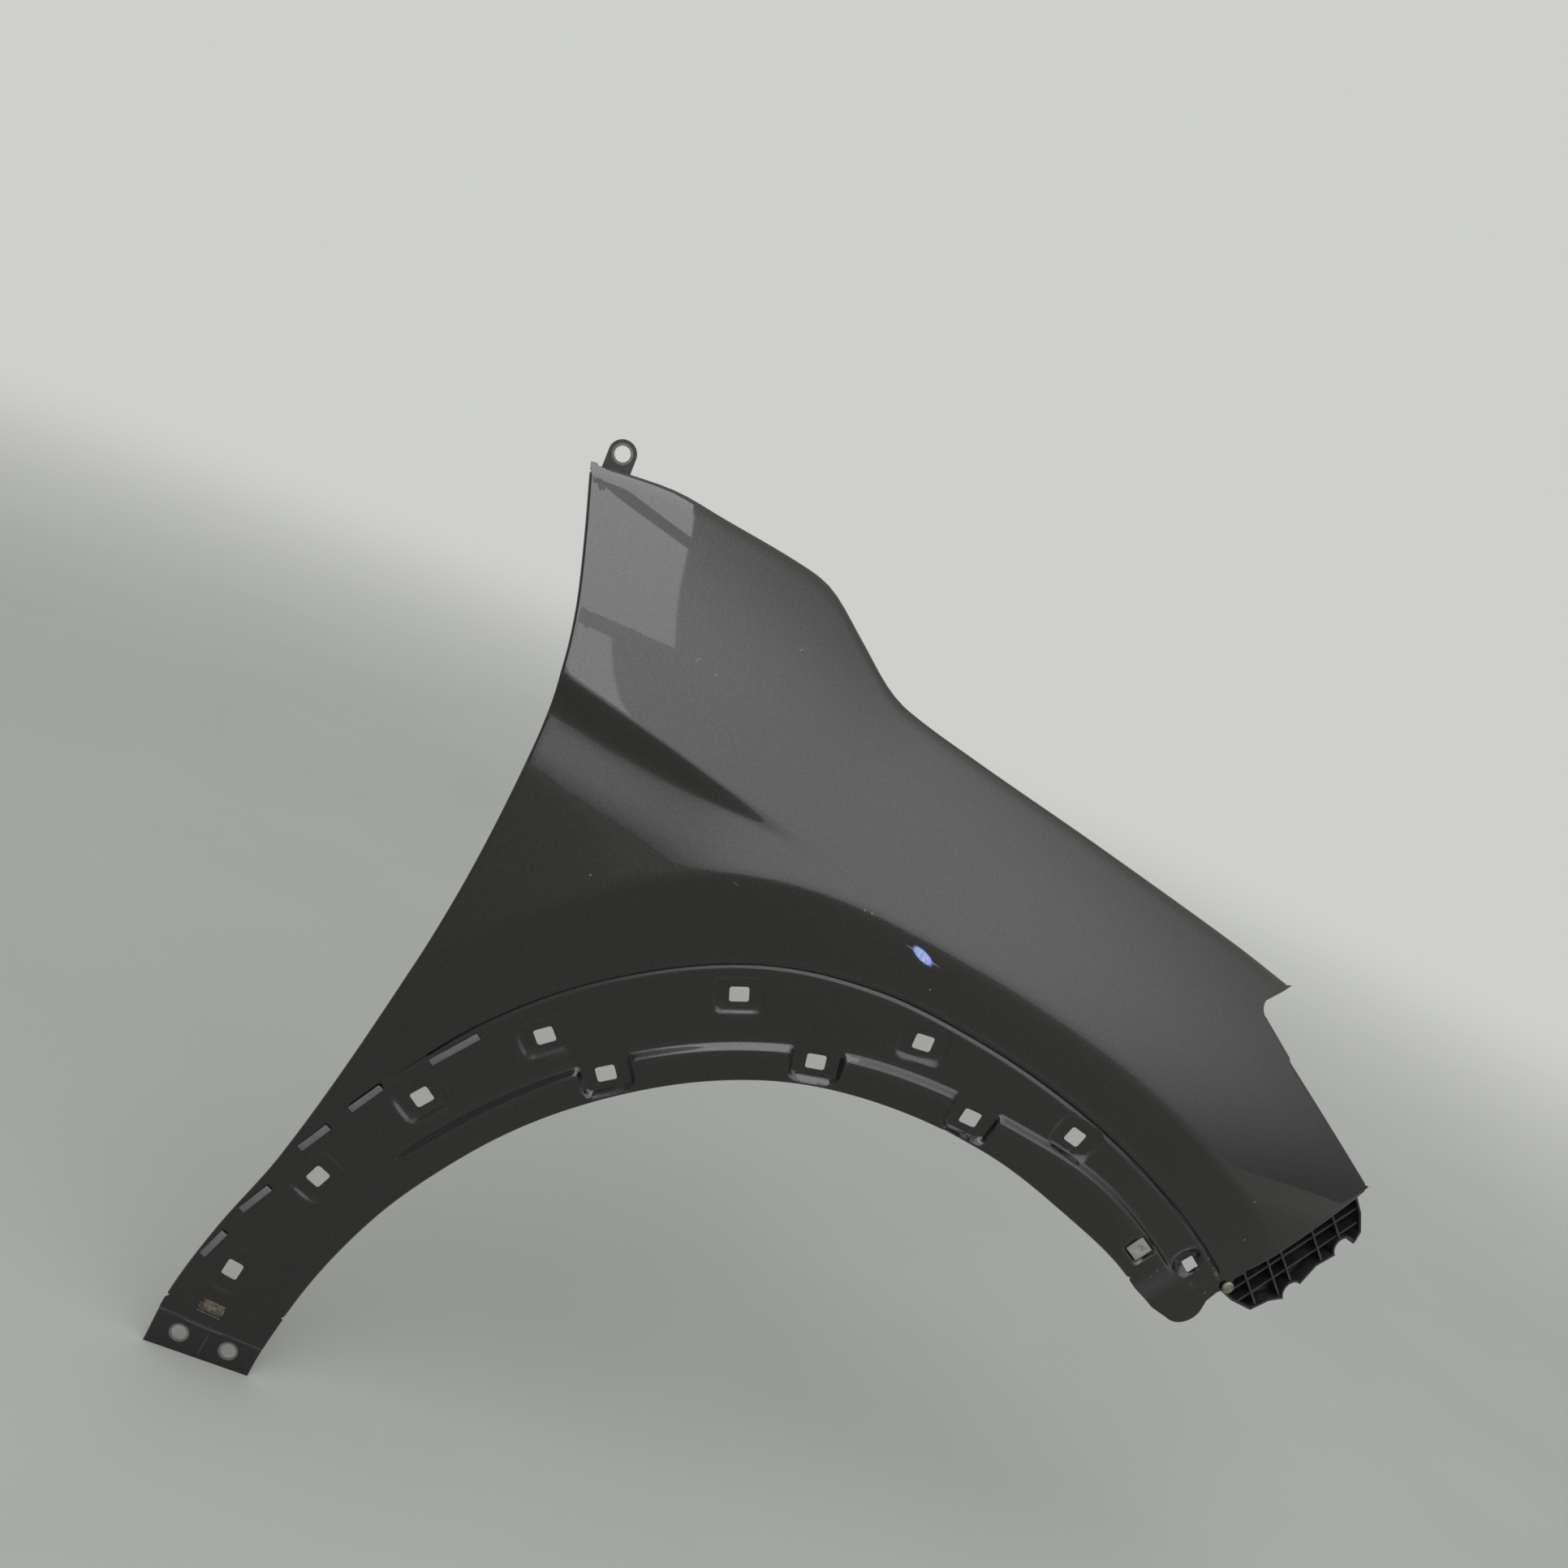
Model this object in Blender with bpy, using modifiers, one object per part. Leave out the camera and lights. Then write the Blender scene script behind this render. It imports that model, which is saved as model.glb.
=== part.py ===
"""Right-hand front fender of a small SUV, as taken off the car.

The frame is the car's own: +X forward, +Z up, the painted face towards -Y. The design is
laid out around the wheel centre, where an angle of 180 degrees points straight back and 90
straight up, and is then moved so that the origin is the bolting face of the foot.
"""

from math import atan2, ceil, cos, degrees, exp, hypot, pi, radians, sin, sqrt

import bmesh
import bpy
from mathutils import Matrix, Vector

# Sheet, folds and clearances
SHEET = 0.0008
FOLD_RADIUS = 0.0022
CLEARANCE = 0.0003
THROUGH = 0.030

# Wheel arch. Every place in the side view was laid out for an arch of 0.370, and is carried
# out from the wheel centre by as much as the arch grows
ARCH_RADIUS = 0.370
ARCH_GROWTH = ARCH_RADIUS - 0.370


def carried(x, z):
    """A place in the side view, carried outwards with the arch."""
    growth = 1 + ARCH_GROWTH / hypot(x, z)
    return x * growth, z * growth


def carried_radii(places):
    """Places given by angle and radius, carried outwards with the arch."""
    return [(angle, r + ARCH_GROWTH) for angle, r in places]


# Radius of the arch opening at each angle, as a difference from the arch radius
ARCH_SWELL = [(45, 0.001), (56, 0.0), (68, -0.004), (80, 0.0), (101, 0.007), (113, 0.005),
              (130, 0.001), (155, -0.002), (170, 0.001), (180, 0.007)]

# Lines of the pressing, as distances out from the arch opening radius
CREASE_WIDTH = 0.033
CREASE_SWELL = [(44, 0.034), (47, 0.020), (50, 0.006), (53, 0.001), (68, 0.002),
                (80, -0.001), (98, 0.004), (109, 0.003), (123, 0.0), (135, -0.005),
                (152, -0.007)]
BAND_WIDTH = 0.064
BAND_SWELL = [(50, 0.001), (64, -0.002), (77, 0.003), (88, 0.013), (98, 0.026), (109, 0.034),
              (122, 0.030), (133, 0.022), (143, 0.014), (170, 0.012)]
FLARE_WIDTH = 0.106
FLARE_SWELL = [(50, 0.0), (68, 0.002), (81, 0.009), (91, 0.021), (97, 0.032), (102, 0.043),
               (108, 0.054), (113, 0.058), (121, 0.052), (135, 0.036), (150, 0.012)]

# Rear edge, which meets the door: height and distance behind the wheel centre
DOOR_EDGE = [(0.0, 0.457), (0.047, 0.4515), (0.106, 0.436), (0.178, 0.4115), (0.292, 0.384),
             (0.414, 0.3615), (0.524, 0.351), (0.580, 0.352), (0.620, 0.3585),
             (0.664, 0.372), (0.713, 0.390)]
DOOR_EDGE = [carried(*place) for place in DOOR_EDGE]
# Upper edge, which meets the hood: height at each distance ahead of the wheel centre
HOOD_EDGE = [(-0.390, 0.713), (-0.360, 0.7165), (-0.326, 0.718), (-0.291, 0.7135),
             (-0.222, 0.704), (-0.196, 0.696), (-0.164, 0.672), (-0.134, 0.6485),
             (-0.113, 0.6385), (-0.054, 0.624), (0.059, 0.599), (0.196, 0.566),
             (0.258, 0.5485)]
HOOD_EDGE = [carried(*place) for place in HOOD_EDGE]
# Edge beside the headlamp, from the notch under the hood tip to the bumper corner
LAMP_TOP = carried(0.240, 0.520)
LAMP_BOTTOM = carried(0.382, 0.425)
NOTCH_RADIUS = 0.011
END_ANGLE = 48.0
# Sections fan out around the top rear corner: their angles at its ends and at the corner,
# and how fast they set out along the rear edge and the upper edge
FAN = (126.0, 112.5, 98.0)
FAN_EASE = (0.45, 1.25)
# Rounded lobe at the front tip of the arch, and where the front edge starts above it
LOBE_SIDE = carried(0.2440, 0.2840)
LOBE_CENTRE = carried(0.2665, 0.2955)
LOBE_RADIUS = 0.0175
LOBE_THROAT = [carried(0.2845, 0.3025), carried(0.2895, 0.3115)]
LOBE_REACH = 4.6
LOBE_START = 48.85
# Sections lie at least this far apart at the opening, so that no sliver lies between two
SECTION_GAP = 0.0016
LUG_END = 0.442 + ARCH_GROWTH
FRONT_START = 0.4525 + ARCH_GROWTH

# Form of the outer face: distance inboard (+Y) at each place
SIDE = 0.006
NOSE_START = -0.150
NOSE_RATE = 0.30
SHOULDER = carried(-0.350, 0.581)
SHOULDER_SLOPE = -0.22
SHOULDER_LENGTH = 0.210
LEAN = 0.32
LEAN_RATE = 2.5
UNDERCUT = 0.013
TUCK_HEIGHT = 0.405
TUCK = 0.035
FLARE_HEIGHT = [(45, 0.008), (70, 0.012), (90, 0.016), (110, 0.019), (125, 0.015),
                (140, 0.008), (158, 0.0)]
FLARE_FADE = 0.110
BAND_STEP = 0.0035
CREASE_STEP = 0.005

# Clip pads, each pressed in around a square hole: angle, radius
PAD_DEPTH = 0.0022
PAD_WALL = 0.003
PAD_HALF = (0.0165, 0.0115)
CLIP_HOLE = (0.0140, 0.0120)
OUTER_CLIPS = carried_radii([(169.1, 0.4218), (155.6, 0.4185), (142.2, 0.4220),
                             (128.9, 0.4295), (110.5, 0.4420), (92.5, 0.4287),
                             (73.3, 0.4156), (51.6, 0.4158)])
INNER_CLIPS = carried_radii([(124.2, 0.3903), (102.3, 0.3953), (84.4, 0.3884)])
PLUG_PLACE = (57.7, 0.3897 + ARCH_GROWTH)
PLUG_HOLE = 0.0110
PLUG_POCKET = (0.0092, 0.0020)
PLUG_POCKET_DEPTH = 0.0030
CLIP_CORNER = 0.002

# Foot: the bolted plate at the bottom of the rear leg
FOOT_ANGLE = 175.9
FOOT_JOGGLE = 0.55
FOOT_PLANE = 0.0225
FOOT_HOLE = 0.0115
FOOT_HOLES = [carried(-0.4344, 0.0150), carried(-0.3966, 0.0138)]
SLOT_PLACE = (174.0, 0.4207 + ARCH_GROWTH)
SLOT_HOLE = (0.0190, 0.0120)
SLOT_PAD = 0.0088
MOUNT_POINT = carried(-0.4155, 0.0144)

# Folded edges
ARCH_FLANGE = 0.014
ARCH_FLANGE_ENDS = (55.0, 171.5)
DOOR_FLANGE = 0.011
LAMP_FLANGE = 0.008
BUMPER_FLANGE = 0.010
HOOD_WALL = 0.014
HOOD_LEDGE = 0.017
HOOD_BOLT_HOLE = 0.0085
HOOD_BOLTS = (-0.285, -0.075, 0.125)

# Lug at the top rear corner
TAB_WIDTH = 0.0205
TAB_CENTRE = carried(-0.3724, 0.7257)
TAB_HOLE = 0.0115
TAB_SETBACK = 0.006
TAB_ROOT = 0.022

# Bumper guide, a ribbed plastic moulding ahead of the front edge: along the edge, forward of it
GUIDE_START = 0.439 + ARCH_GROWTH
GUIDE_OUTLINE = [(-0.0105, 0.0040), (0.1270, 0.0040), (0.1260, 0.0215), (0.1210, 0.0385),
                 (0.1130, 0.0440), (0.0930, 0.0440), (0.0745, 0.0425), (0.0560, 0.0490),
                 (0.0385, 0.0520), (0.0260, 0.0455), (0.0085, 0.0425), (-0.0040, 0.0230)]
GUIDE_SCOOPS = [(0.1020, 0.0430), (0.0475, 0.0520)]
SCOOP_RADIUS = 0.0090
GUIDE_SET_BACK = 0.0035
GUIDE_DEPTH = 0.0150
GUIDE_WALL = 0.0018
GUIDE_FLOOR = 0.0020
GUIDE_CROSS_RIBS = (0.0150, 0.0367, 0.0500, 0.0810, 0.1020)
GUIDE_LONG_RIBS = (0.0170, 0.0300)
GUIDE_SLOT = (0.0885, 0.0345, 0.0140, 0.0035)
GUIDE_TONGUES = (0.0300, 0.0960)
TONGUE = (0.0120, 0.0100, 0.0016)
TONGUE_DEPTH = 0.0165
RIVET_PLACE = carried(0.2950, 0.3186)
RIVET_HEAD = (0.0105, 0.0022)
RIVET_SHANK = 0.0048
RIVET_GRIP = 0.0044
RIVET_BULB = (0.0068, 0.0030)
LUG_RADIUS = 0.0052

# Foam tape on the outer band, where the arch trim rests: both ends of each strip
TAPE_WIDTH = 0.0050
TAPE_THICKNESS = 0.0012
TAPES = [((-0.3366, 0.2870), (-0.3124, 0.3180)), ((-0.3767, 0.2327), (-0.3624, 0.2570)),
         ((-0.3998, 0.1906), (-0.3865, 0.2140)), ((-0.4230, 0.1287), (-0.4100, 0.1526)),
         ((-0.4376, 0.0844), (-0.4285, 0.1070))]
TAPES = [(carried(*start), carried(*end)) for start, end in TAPES]

# Spring clip in the slot above the foot, and the square plug near the arch tip
CLIP_PLATE = (0.0150, 0.0008, 0.0230)
CLIP_TONGUE = (0.0055, 0.0070)
CLIP_HOOK = (0.0040, 0.0010, 0.0012)
CLIP_LIP = (0.0044, 0.0009, 0.0026)
PLUG_HEAD = (0.0146, 0.0012)
PLUG_DIMPLE = (0.0060, 0.0006)
PLUG_LIP = 0.0010

# Finish of each piece: linear colour, roughness, metallic share
FINISHES = {"fender_panel": ((0.050, 0.047, 0.042), 0.30, 0.6),
            "bumper_guide": ((0.018, 0.018, 0.019), 0.55, 0.0),
            "guide_rivet": ((0.46, 0.44, 0.39), 0.50, 0.8),
            "foot_spring_clip": ((0.36, 0.33, 0.24), 0.50, 0.8),
            "arch_plug": ((0.60, 0.61, 0.58), 0.55, 0.0),
            "foam_tape": ((0.26, 0.27, 0.26), 0.95, 0.0)}


def smooth(t):
    """Eased step from 0 to 1."""
    t = min(1.0, max(0.0, t))
    return t * t * (3 - 2 * t)


def soft(d, width):
    """max(0, d) with its corner rounded over width."""
    return 0.5 * (d + sqrt(d * d + width * width))


def along(stations, at):
    """Smooth curve through (place, value) stations, level beyond its ends."""
    if at <= stations[0][0]:
        return stations[0][1]
    if at >= stations[-1][0]:
        return stations[-1][1]
    last = len(stations) - 1
    i = max(k for k in range(last) if stations[k][0] <= at)
    (x0, y0), (x1, y1) = stations[max(i - 1, 0)], stations[i]
    (x2, y2), (x3, y3) = stations[i + 1], stations[min(i + 2, last)]
    span = x2 - x1
    slope1 = (y2 - y0) / (x2 - x0) * span
    slope2 = (y3 - y1) / (x3 - x1) * span
    t = (at - x1) / span
    return ((2 * t**3 - 3 * t**2 + 1) * y1 + (t**3 - 2 * t**2 + t) * slope1
            + (3 * t**2 - 2 * t**3) * y2 + (t**3 - t**2) * slope2)


def opening(angle):
    return ARCH_RADIUS + along(ARCH_SWELL, angle)


def crease(angle):
    return ARCH_RADIUS + CREASE_WIDTH + along(CREASE_SWELL, angle)


def band(angle):
    return ARCH_RADIUS + BAND_WIDTH + along(BAND_SWELL, angle)


def flare(angle):
    return ARCH_RADIUS + FLARE_WIDTH + along(FLARE_SWELL, angle)


def shoulder_height(x):
    return SHOULDER[1] + SHOULDER_SLOPE * (x - SHOULDER[0])


def body_face(x, z):
    """The side of the body, without the arch: leaning in above the shoulder line."""
    forward = smooth((x - SHOULDER[0]) / SHOULDER_LENGTH)
    above = z - shoulder_height(x)
    lean = soft(above, 0.003 + 0.077 * forward)
    y = SIDE + NOSE_RATE * soft(x - NOSE_START, 0.040) ** 2
    y += LEAN * lean + LEAN_RATE * lean * lean
    y += UNDERCUT * (1 - forward) * smooth(-above / 0.036) * (1 - smooth((-above - 0.052) / 0.095))
    return y + TUCK * soft(TUCK_HEIGHT - z, 0.040)


def arch_form(angle, r):
    """What the flare, the recessed band and the raised lip add around the opening."""
    height = along(FLARE_HEIGHT, angle)
    out = r - flare(angle)
    inside = soft(-out, 0.008)
    slope_end = flare(angle) - band(angle)
    fall = 0.22 * min(inside, slope_end) + 0.14 * max(0.0, inside - slope_end)
    y = -height * exp(-soft(out, 0.008) / FLARE_FADE) + fall * height / 0.019
    ends = smooth((angle - 48.5) / 4) * (1 - smooth((angle - 132) / 20))
    y += BAND_STEP * ends * smooth((band(angle) - r) / BAND_STEP)
    lip = CREASE_STEP * (1 - smooth((angle - 143) / 12)) * smooth((crease(angle) - r) / 0.006)
    return y - lip * (1 - inner_pads(angle, r))


def outer_line(angle):
    return along(sorted(OUTER_CLIPS + [SLOT_PLACE]), angle)


def inner_line(angle):
    return along(sorted(INNER_CLIPS + [PLUG_PLACE]), angle)


def beside(angle, pad_angle, pad_r, half=PAD_HALF[0], wall=PAD_WALL):
    """1 over the width of a pad, easing to 0 over the width of its side wall."""
    return 1 - smooth((abs(radians(angle - pad_angle)) * pad_r - half) / wall)


def inner_pads(angle, r):
    """1 in the pads that cut the raised lip away, down to the level of the band."""
    rise = smooth((r - inner_line(angle) + PAD_HALF[1]) / PAD_WALL)
    return rise * max(beside(angle, *place) for place in INNER_CLIPS)


def outer_pads(angle, r):
    rise = 1 - smooth((abs(r - outer_line(angle)) - PAD_HALF[1]) / PAD_WALL)
    sides = [beside(angle, *place) for place in OUTER_CLIPS]
    return PAD_DEPTH * rise * max(sides + [beside(angle, *SLOT_PLACE, SLOT_PAD)])


def plug_pocket(angle, r):
    rise = abs(r - PLUG_PLACE[1]) - PAD_HALF[1] + PAD_WALL
    return PLUG_POCKET_DEPTH * (1 - smooth(rise / PAD_WALL)) * beside(angle, *PLUG_PLACE, *PLUG_POCKET)


def face(x, z):
    """Distance inboard of the painted face at a place seen from the side."""
    angle, r = degrees(atan2(z, x)), hypot(x, z)
    if angle < -90:
        angle += 360
    y = body_face(x, z) + arch_form(angle, r) + outer_pads(angle, r) + plug_pocket(angle, r)
    return y + (FOOT_PLANE - y) * smooth((angle - FOOT_ANGLE) / FOOT_JOGGLE)


def on_face(x, z, depth=0.0):
    return Vector((x, face(x, z) + depth, z))


def inward(x, z):
    """Unit normal of the face, pointing into the car."""
    step = 0.0008
    slope_x = (face(x + step, z) - face(x - step, z)) / (2 * step)
    slope_z = (face(x, z + step) - face(x, z - step)) / (2 * step)
    return Vector((-slope_x, 1.0, -slope_z)).normalized()


def polar(angle, r):
    return r * cos(radians(angle)), r * sin(radians(angle))


def meet(angle, inside):
    """Where the ray at an angle leaves the region in which inside(x, z) holds."""
    low, high = ARCH_RADIUS + 0.030, ARCH_RADIUS + 0.580
    for _ in range(40):
        middle = (low + high) / 2
        if inside(*polar(angle, middle)):
            low = middle
        else:
            high = middle
    return polar(angle, low)


def corner_angles():
    """Section angles of the hood tip and of the headlamp edge just under it."""
    tip = degrees(atan2(HOOD_EDGE[-1][1], HOOD_EDGE[-1][0]))
    return tip, tip - 0.5


def outline_place(angle):
    """Point of the outer outline that a section runs to. Around the top rear corner the
    sections fan out, because the rear edge runs almost straight away from the wheel centre."""
    rear, corner, front = FAN
    top = HOOD_EDGE[0][1]
    tip = corner_angles()[0]
    if angle >= rear:
        return meet(angle, lambda x, z: x > -along(DOOR_EDGE, z))
    if angle >= corner:
        low = meet(rear, lambda x, z: x > -along(DOOR_EDGE, z))[1]
        t = (rear - angle) / (rear - corner)
        z = low + (top - low) * t * (FAN_EASE[0] + (1 - FAN_EASE[0]) * t)
        return -along(DOOR_EDGE, z), z
    if angle > front:
        start = HOOD_EDGE[0][0]
        end = meet(front, lambda x, z: z < along(HOOD_EDGE, x))[0]
        t = (corner - angle) / (corner - front)
        x = start + (end - start) * t * (FAN_EASE[1] + (1 - FAN_EASE[1]) * t)
        return x, along(HOOD_EDGE, x)
    if angle >= tip - 0.01:
        return meet(angle, lambda x, z: z < along(HOOD_EDGE, x))
    slope = (LAMP_BOTTOM[1] - LAMP_TOP[1]) / (LAMP_BOTTOM[0] - LAMP_TOP[0])
    return meet(angle, lambda x, z: z < LAMP_TOP[1] + slope * (x - LAMP_TOP[0]))


def flange_at(angle):
    """Which folded edge a section ends in."""
    rear, corner, front = FAN
    tip, lamp = corner_angles()
    if corner + 0.2 < angle < FOOT_ANGLE - 1.2:
        return "door"
    if tip + 1.2 < angle < corner - 0.2:
        return "hood"
    if END_ANGLE + 0.4 < angle < lamp - 1.8:
        return "lamp"
    return None


def section_angles():
    """Angles of the sections: both sides of every pad wall, the corners, and some between."""
    gap = degrees(SECTION_GAP / ARCH_RADIUS)
    rear, corner, front = FAN
    tip, lamp = corner_angles()
    sharp = [END_ANGLE, LOBE_START, lamp, tip, corner - 0.3, corner, corner + 0.3]
    sharp += [FOOT_ANGLE, FOOT_ANGLE + FOOT_JOGGLE, 180.0]
    fixed = list(sharp)
    pads = [(*place, PAD_HALF[0], PAD_WALL) for place in OUTER_CLIPS + INNER_CLIPS]
    pads += [(*SLOT_PLACE, SLOT_PAD, PAD_WALL), (*PLUG_PLACE, *PLUG_POCKET)]
    for pad_angle, pad_r, half, wall in pads:
        for reach in (half, half + wall):
            fixed += [pad_angle + side * degrees(reach / pad_r) for side in (-1, 1)]
    kept = []
    for angle in sorted(a for a in fixed if END_ANGLE <= a <= 180):
        if angle in sharp and kept and angle - kept[-1] < gap and kept[-1] not in sharp:
            kept[-1] = angle
        elif not kept or angle in sharp or angle - kept[-1] > gap:
            kept.append(angle)
    angles = kept[:1]
    for angle in kept[1:]:
        start = angles[-1]
        step = 1.8 if front - 1 < start < rear - 1 else 4.3
        if start < LOBE_START:
            step = 0.3
        parts = max(1, ceil((angle - start) / step))
        angles += [start + (angle - start) * k / parts for k in range(1, parts + 1)]
    return angles


def section_places(angle):
    """Places of the rows of one section in the side view, from the arch opening outwards.
    Rows that fall beyond the outline stop on it, where make_skin_sheet joins them."""
    flanged = ARCH_FLANGE_ENDS[0] < angle < ARCH_FLANGE_ENDS[1]
    low, high, crest = inner_line(angle), outer_line(angle), flare(angle)
    radii = [opening(angle) + (FOLD_RADIUS if flanged else 0.0)]
    radii += [low - PAD_HALF[1], low - PAD_HALF[1] + PAD_WALL]
    radii += [crease(angle) - k for k in (0.006, 0.003, 0.0)]
    radii += [high - PAD_HALF[1] - PAD_WALL, high - PAD_HALF[1]]
    radii += [high + PAD_HALF[1], high + PAD_HALF[1] + PAD_WALL]
    radii += [band(angle) - BAND_STEP, band(angle)]
    radii += [crest - 0.022, crest - 0.006, crest + 0.002, crest + 0.012]
    radii = [max(radii[:k + 1]) for k in range(len(radii))]
    end = Vector(outline_place(angle))
    if flange_at(angle):
        before, after = (Vector(outline_place(angle + d)) for d in (-0.15, 0.15))
        along_edge = (after - before).normalized()
        out = Vector((-along_edge.y, along_edge.x))
        if out.dot(end - Vector(polar(angle, crest))) < 0:
            out = -out
        end -= out * FOLD_RADIUS
    places = [Vector(polar(angle, r)) for r in radii]
    start = places[-1]
    if end.length < start.length + 0.002:
        places = [p if p.length < end.length else end.copy() for p in places]
        return places + [end.copy() for _ in range(11)]
    span = end - start
    over = lambda p: p.y - shoulder_height(p.x)
    rise = over(end) - over(start)
    waist = -over(start) / rise if rise > 0.001 else 1.6
    far = max(min(waist, 1.6), 0.030 / span.length)
    shares = [far * k for k in (0.25, 0.50, 0.67, 0.80, 0.91)]
    shares += [far - 0.0015 / span.length, far + 0.002 / span.length]
    rest = max(0.0, 1 - shares[-1])
    shares += [shares[-1] + rest * k for k in (0.15, 0.42, 0.72)] + [1.0]
    return places + [start + span * min(1.0, t) for t in shares]


def skin_point(place):
    """Point of the face. The last sections swing forward to make the lobe of the arch tip."""
    angle, r = degrees(atan2(place.y, place.x)), place.length
    swing = LOBE_REACH * max(0.0, (LOBE_START - angle) / (LOBE_START - END_ANGLE))
    swing *= 1 - smooth((r - LUG_END - 0.001) / 0.009)
    return on_face(*polar(angle - swing, r))


def new_object(name, bm, collection):
    mesh = bpy.data.meshes.new(name)
    bm.to_mesh(mesh)
    bm.free()
    obj = bpy.data.objects.new(name, mesh)
    collection.objects.link(obj)
    return obj


def fold(bm, frames, steps):
    """Fold a flange from a run of edge vertices, each with its outward and inward direction."""
    edges = [e for e in bm.edges if e.is_boundary and all(v in frames for v in e.verts)]
    base = {v: (v.co.copy(), frames[v]) for v in frames}
    for step in steps:
        made = bmesh.ops.extrude_edge_only(bm, edges=edges)["geom"]
        fresh = {g for g in made if isinstance(g, bmesh.types.BMVert)}
        edges = [g for g in made if isinstance(g, bmesh.types.BMEdge)
                 and g.verts[0] in fresh and g.verts[1] in fresh]
        moved = {}
        for v in fresh:
            old = next(e.other_vert(v) for e in v.link_edges if e.other_vert(v) in base)
            origin, (out, into) = base[old]
            v.co = origin + step(out, into)
            moved[v] = base[old]
        base = moved


def bend_steps(turn, length, ledge=0.0, parts=2):
    """A rounded fold by turn degrees, a straight wall, and a level ledge into the car."""
    def bend(a):
        return lambda out, into: FOLD_RADIUS * (out * sin(a) + into * (1 - cos(a)))

    def straight(out, into):
        a = radians(turn)
        return bend(a)(out, into) + length * (out * cos(a) + into * sin(a))

    def level(out, into):
        return straight(out, into) + Vector((0, ledge, 0))

    steps = [bend(radians(turn) * k / parts) for k in range(1, parts + 1)] + [straight]
    if ledge:
        steps.append(level)
    return steps


def make_skin_sheet():
    """The painted face as an open sheet, with its folded edges, before it gets its thickness."""
    angles = section_angles()
    columns = [section_places(a) for a in angles]
    across, up = len(angles) - 1, len(columns[0]) - 1
    bm = bmesh.new()
    bmesh.ops.create_grid(bm, x_segments=across, y_segments=up, size=1.0)
    place = {}
    for v in bm.verts:
        i = round((1 - v.co.x) / 2 * across)
        k = round((v.co.y + 1) / 2 * up)
        place[(i, k)] = v
        v.co = skin_point(columns[i][k])
    joined = {}
    for i in range(across + 1):
        for k in range(up - 1, -1, -1):
            if (place[(i, k)].co - place[(i, k + 1)].co).length < 0.0009:
                joined[place[(i, k)]] = place[(i, k + 1)]
                place[(i, k)] = place[(i, k + 1)]
    target = {v: v for v in joined}
    for v in target:
        end = joined[v]
        while end in joined:
            end = joined[end]
        target[v] = end
    bmesh.ops.weld_verts(bm, targetmap=target)

    def edge_frame(row_wise):
        """Gives the outward direction, across the edge, and the inward normal of the face."""
        def directions(i, k):
            v = place[(i, k)]
            into = inward(v.co.x, v.co.z)
            i0, i1 = (max(i - 1, 0), min(i + 1, across)) if row_wise else (i, i)
            k0, k1 = (k, k) if row_wise else (k - 1, k + 1)
            side = place[(i1, k1)].co - place[(i0, k0)].co
            out = side.cross(into).normalized()
            inner = place[(i, up // 2)] if row_wise else place[(1, k)]
            return (out if out.dot(v.co - inner.co) > 0 else -out), into
        return directions

    def run(keys, row_wise, steps):
        verts = {place[key]: edge_frame(row_wise)(*key) for key in keys}
        fold(bm, verts, steps)

    kinds = {i: flange_at(angles[i]) for i in range(across + 1)}
    run([(i, up) for i in kinds if kinds[i] == "door"], True, bend_steps(115, DOOR_FLANGE))
    run([(i, up) for i in kinds if kinds[i] == "hood"], True, bend_steps(104, HOOD_WALL, HOOD_LEDGE))
    run([(i, up) for i in kinds if kinds[i] == "lamp"], True, bend_steps(90, LAMP_FLANGE))
    first, last = ARCH_FLANGE_ENDS
    run([(i, 0) for i in kinds if first < angles[i] < last], True,
        bend_steps(92, ARCH_FLANGE, parts=3))
    ends = {place[(0, k)]: k for k in range(up + 1)}
    front = sorted(k for v, k in ends.items()
                   if FRONT_START - 0.0005 < columns[0][k].length
                   < columns[0][up].length - 0.004)
    run([(0, k) for k in front], False, bend_steps(90, BUMPER_FLANGE))
    bmesh.ops.recalc_face_normals(bm, faces=bm.faces)
    target_point = on_face(*polar(110, ARCH_RADIUS + 0.130))
    middle = min(bm.faces, key=lambda f: (f.calc_center_median() - target_point).length)
    if middle.normal.y > 0:
        bmesh.ops.reverse_faces(bm, faces=bm.faces)
    return bm


def add_box(bm, size, matrix, corner=0.0):
    """A box whose edges along its local Y are rounded."""
    made = bmesh.ops.create_cube(bm, size=1.0)["verts"]
    bmesh.ops.scale(bm, vec=size, verts=made)
    if corner:
        edges = [e for v in made for e in v.link_edges
                 if abs((e.verts[0].co - e.verts[1].co).normalized().y) > 0.9]
        made = bmesh.ops.bevel(bm, geom=list(dict.fromkeys(edges)), offset=corner, segments=3,
                               profile=0.5, affect="EDGES", material=-1)["verts"] + made
        made = [v for v in dict.fromkeys(made) if v.is_valid]
    bmesh.ops.transform(bm, matrix=matrix, verts=made)


def add_rod(bm, diameter, length, matrix, sides=24):
    """A cylinder along its local Y."""
    turn = Matrix.Rotation(pi / 2, 4, "X")
    bmesh.ops.create_cone(bm, cap_ends=True, segments=sides, radius1=diameter / 2,
                          radius2=diameter / 2, depth=length, matrix=matrix @ turn)


def seat_at(x, z, turn=0.0):
    """Frame on the face: Y into the car, Z up along the face, turned about Y."""
    into = inward(x, z)
    right = into.cross(Vector((0, 0, 1))).normalized()
    frame = Matrix((right, into, right.cross(into))).transposed().to_4x4()
    frame.translation = on_face(x, z)
    return frame @ Matrix.Rotation(turn, 4, "Y")


def seat(angle, r):
    """Frame on the face around the arch: X along the arch, Y into the car."""
    return seat_at(*polar(angle, r), turn=-radians(angle - 90))


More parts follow.
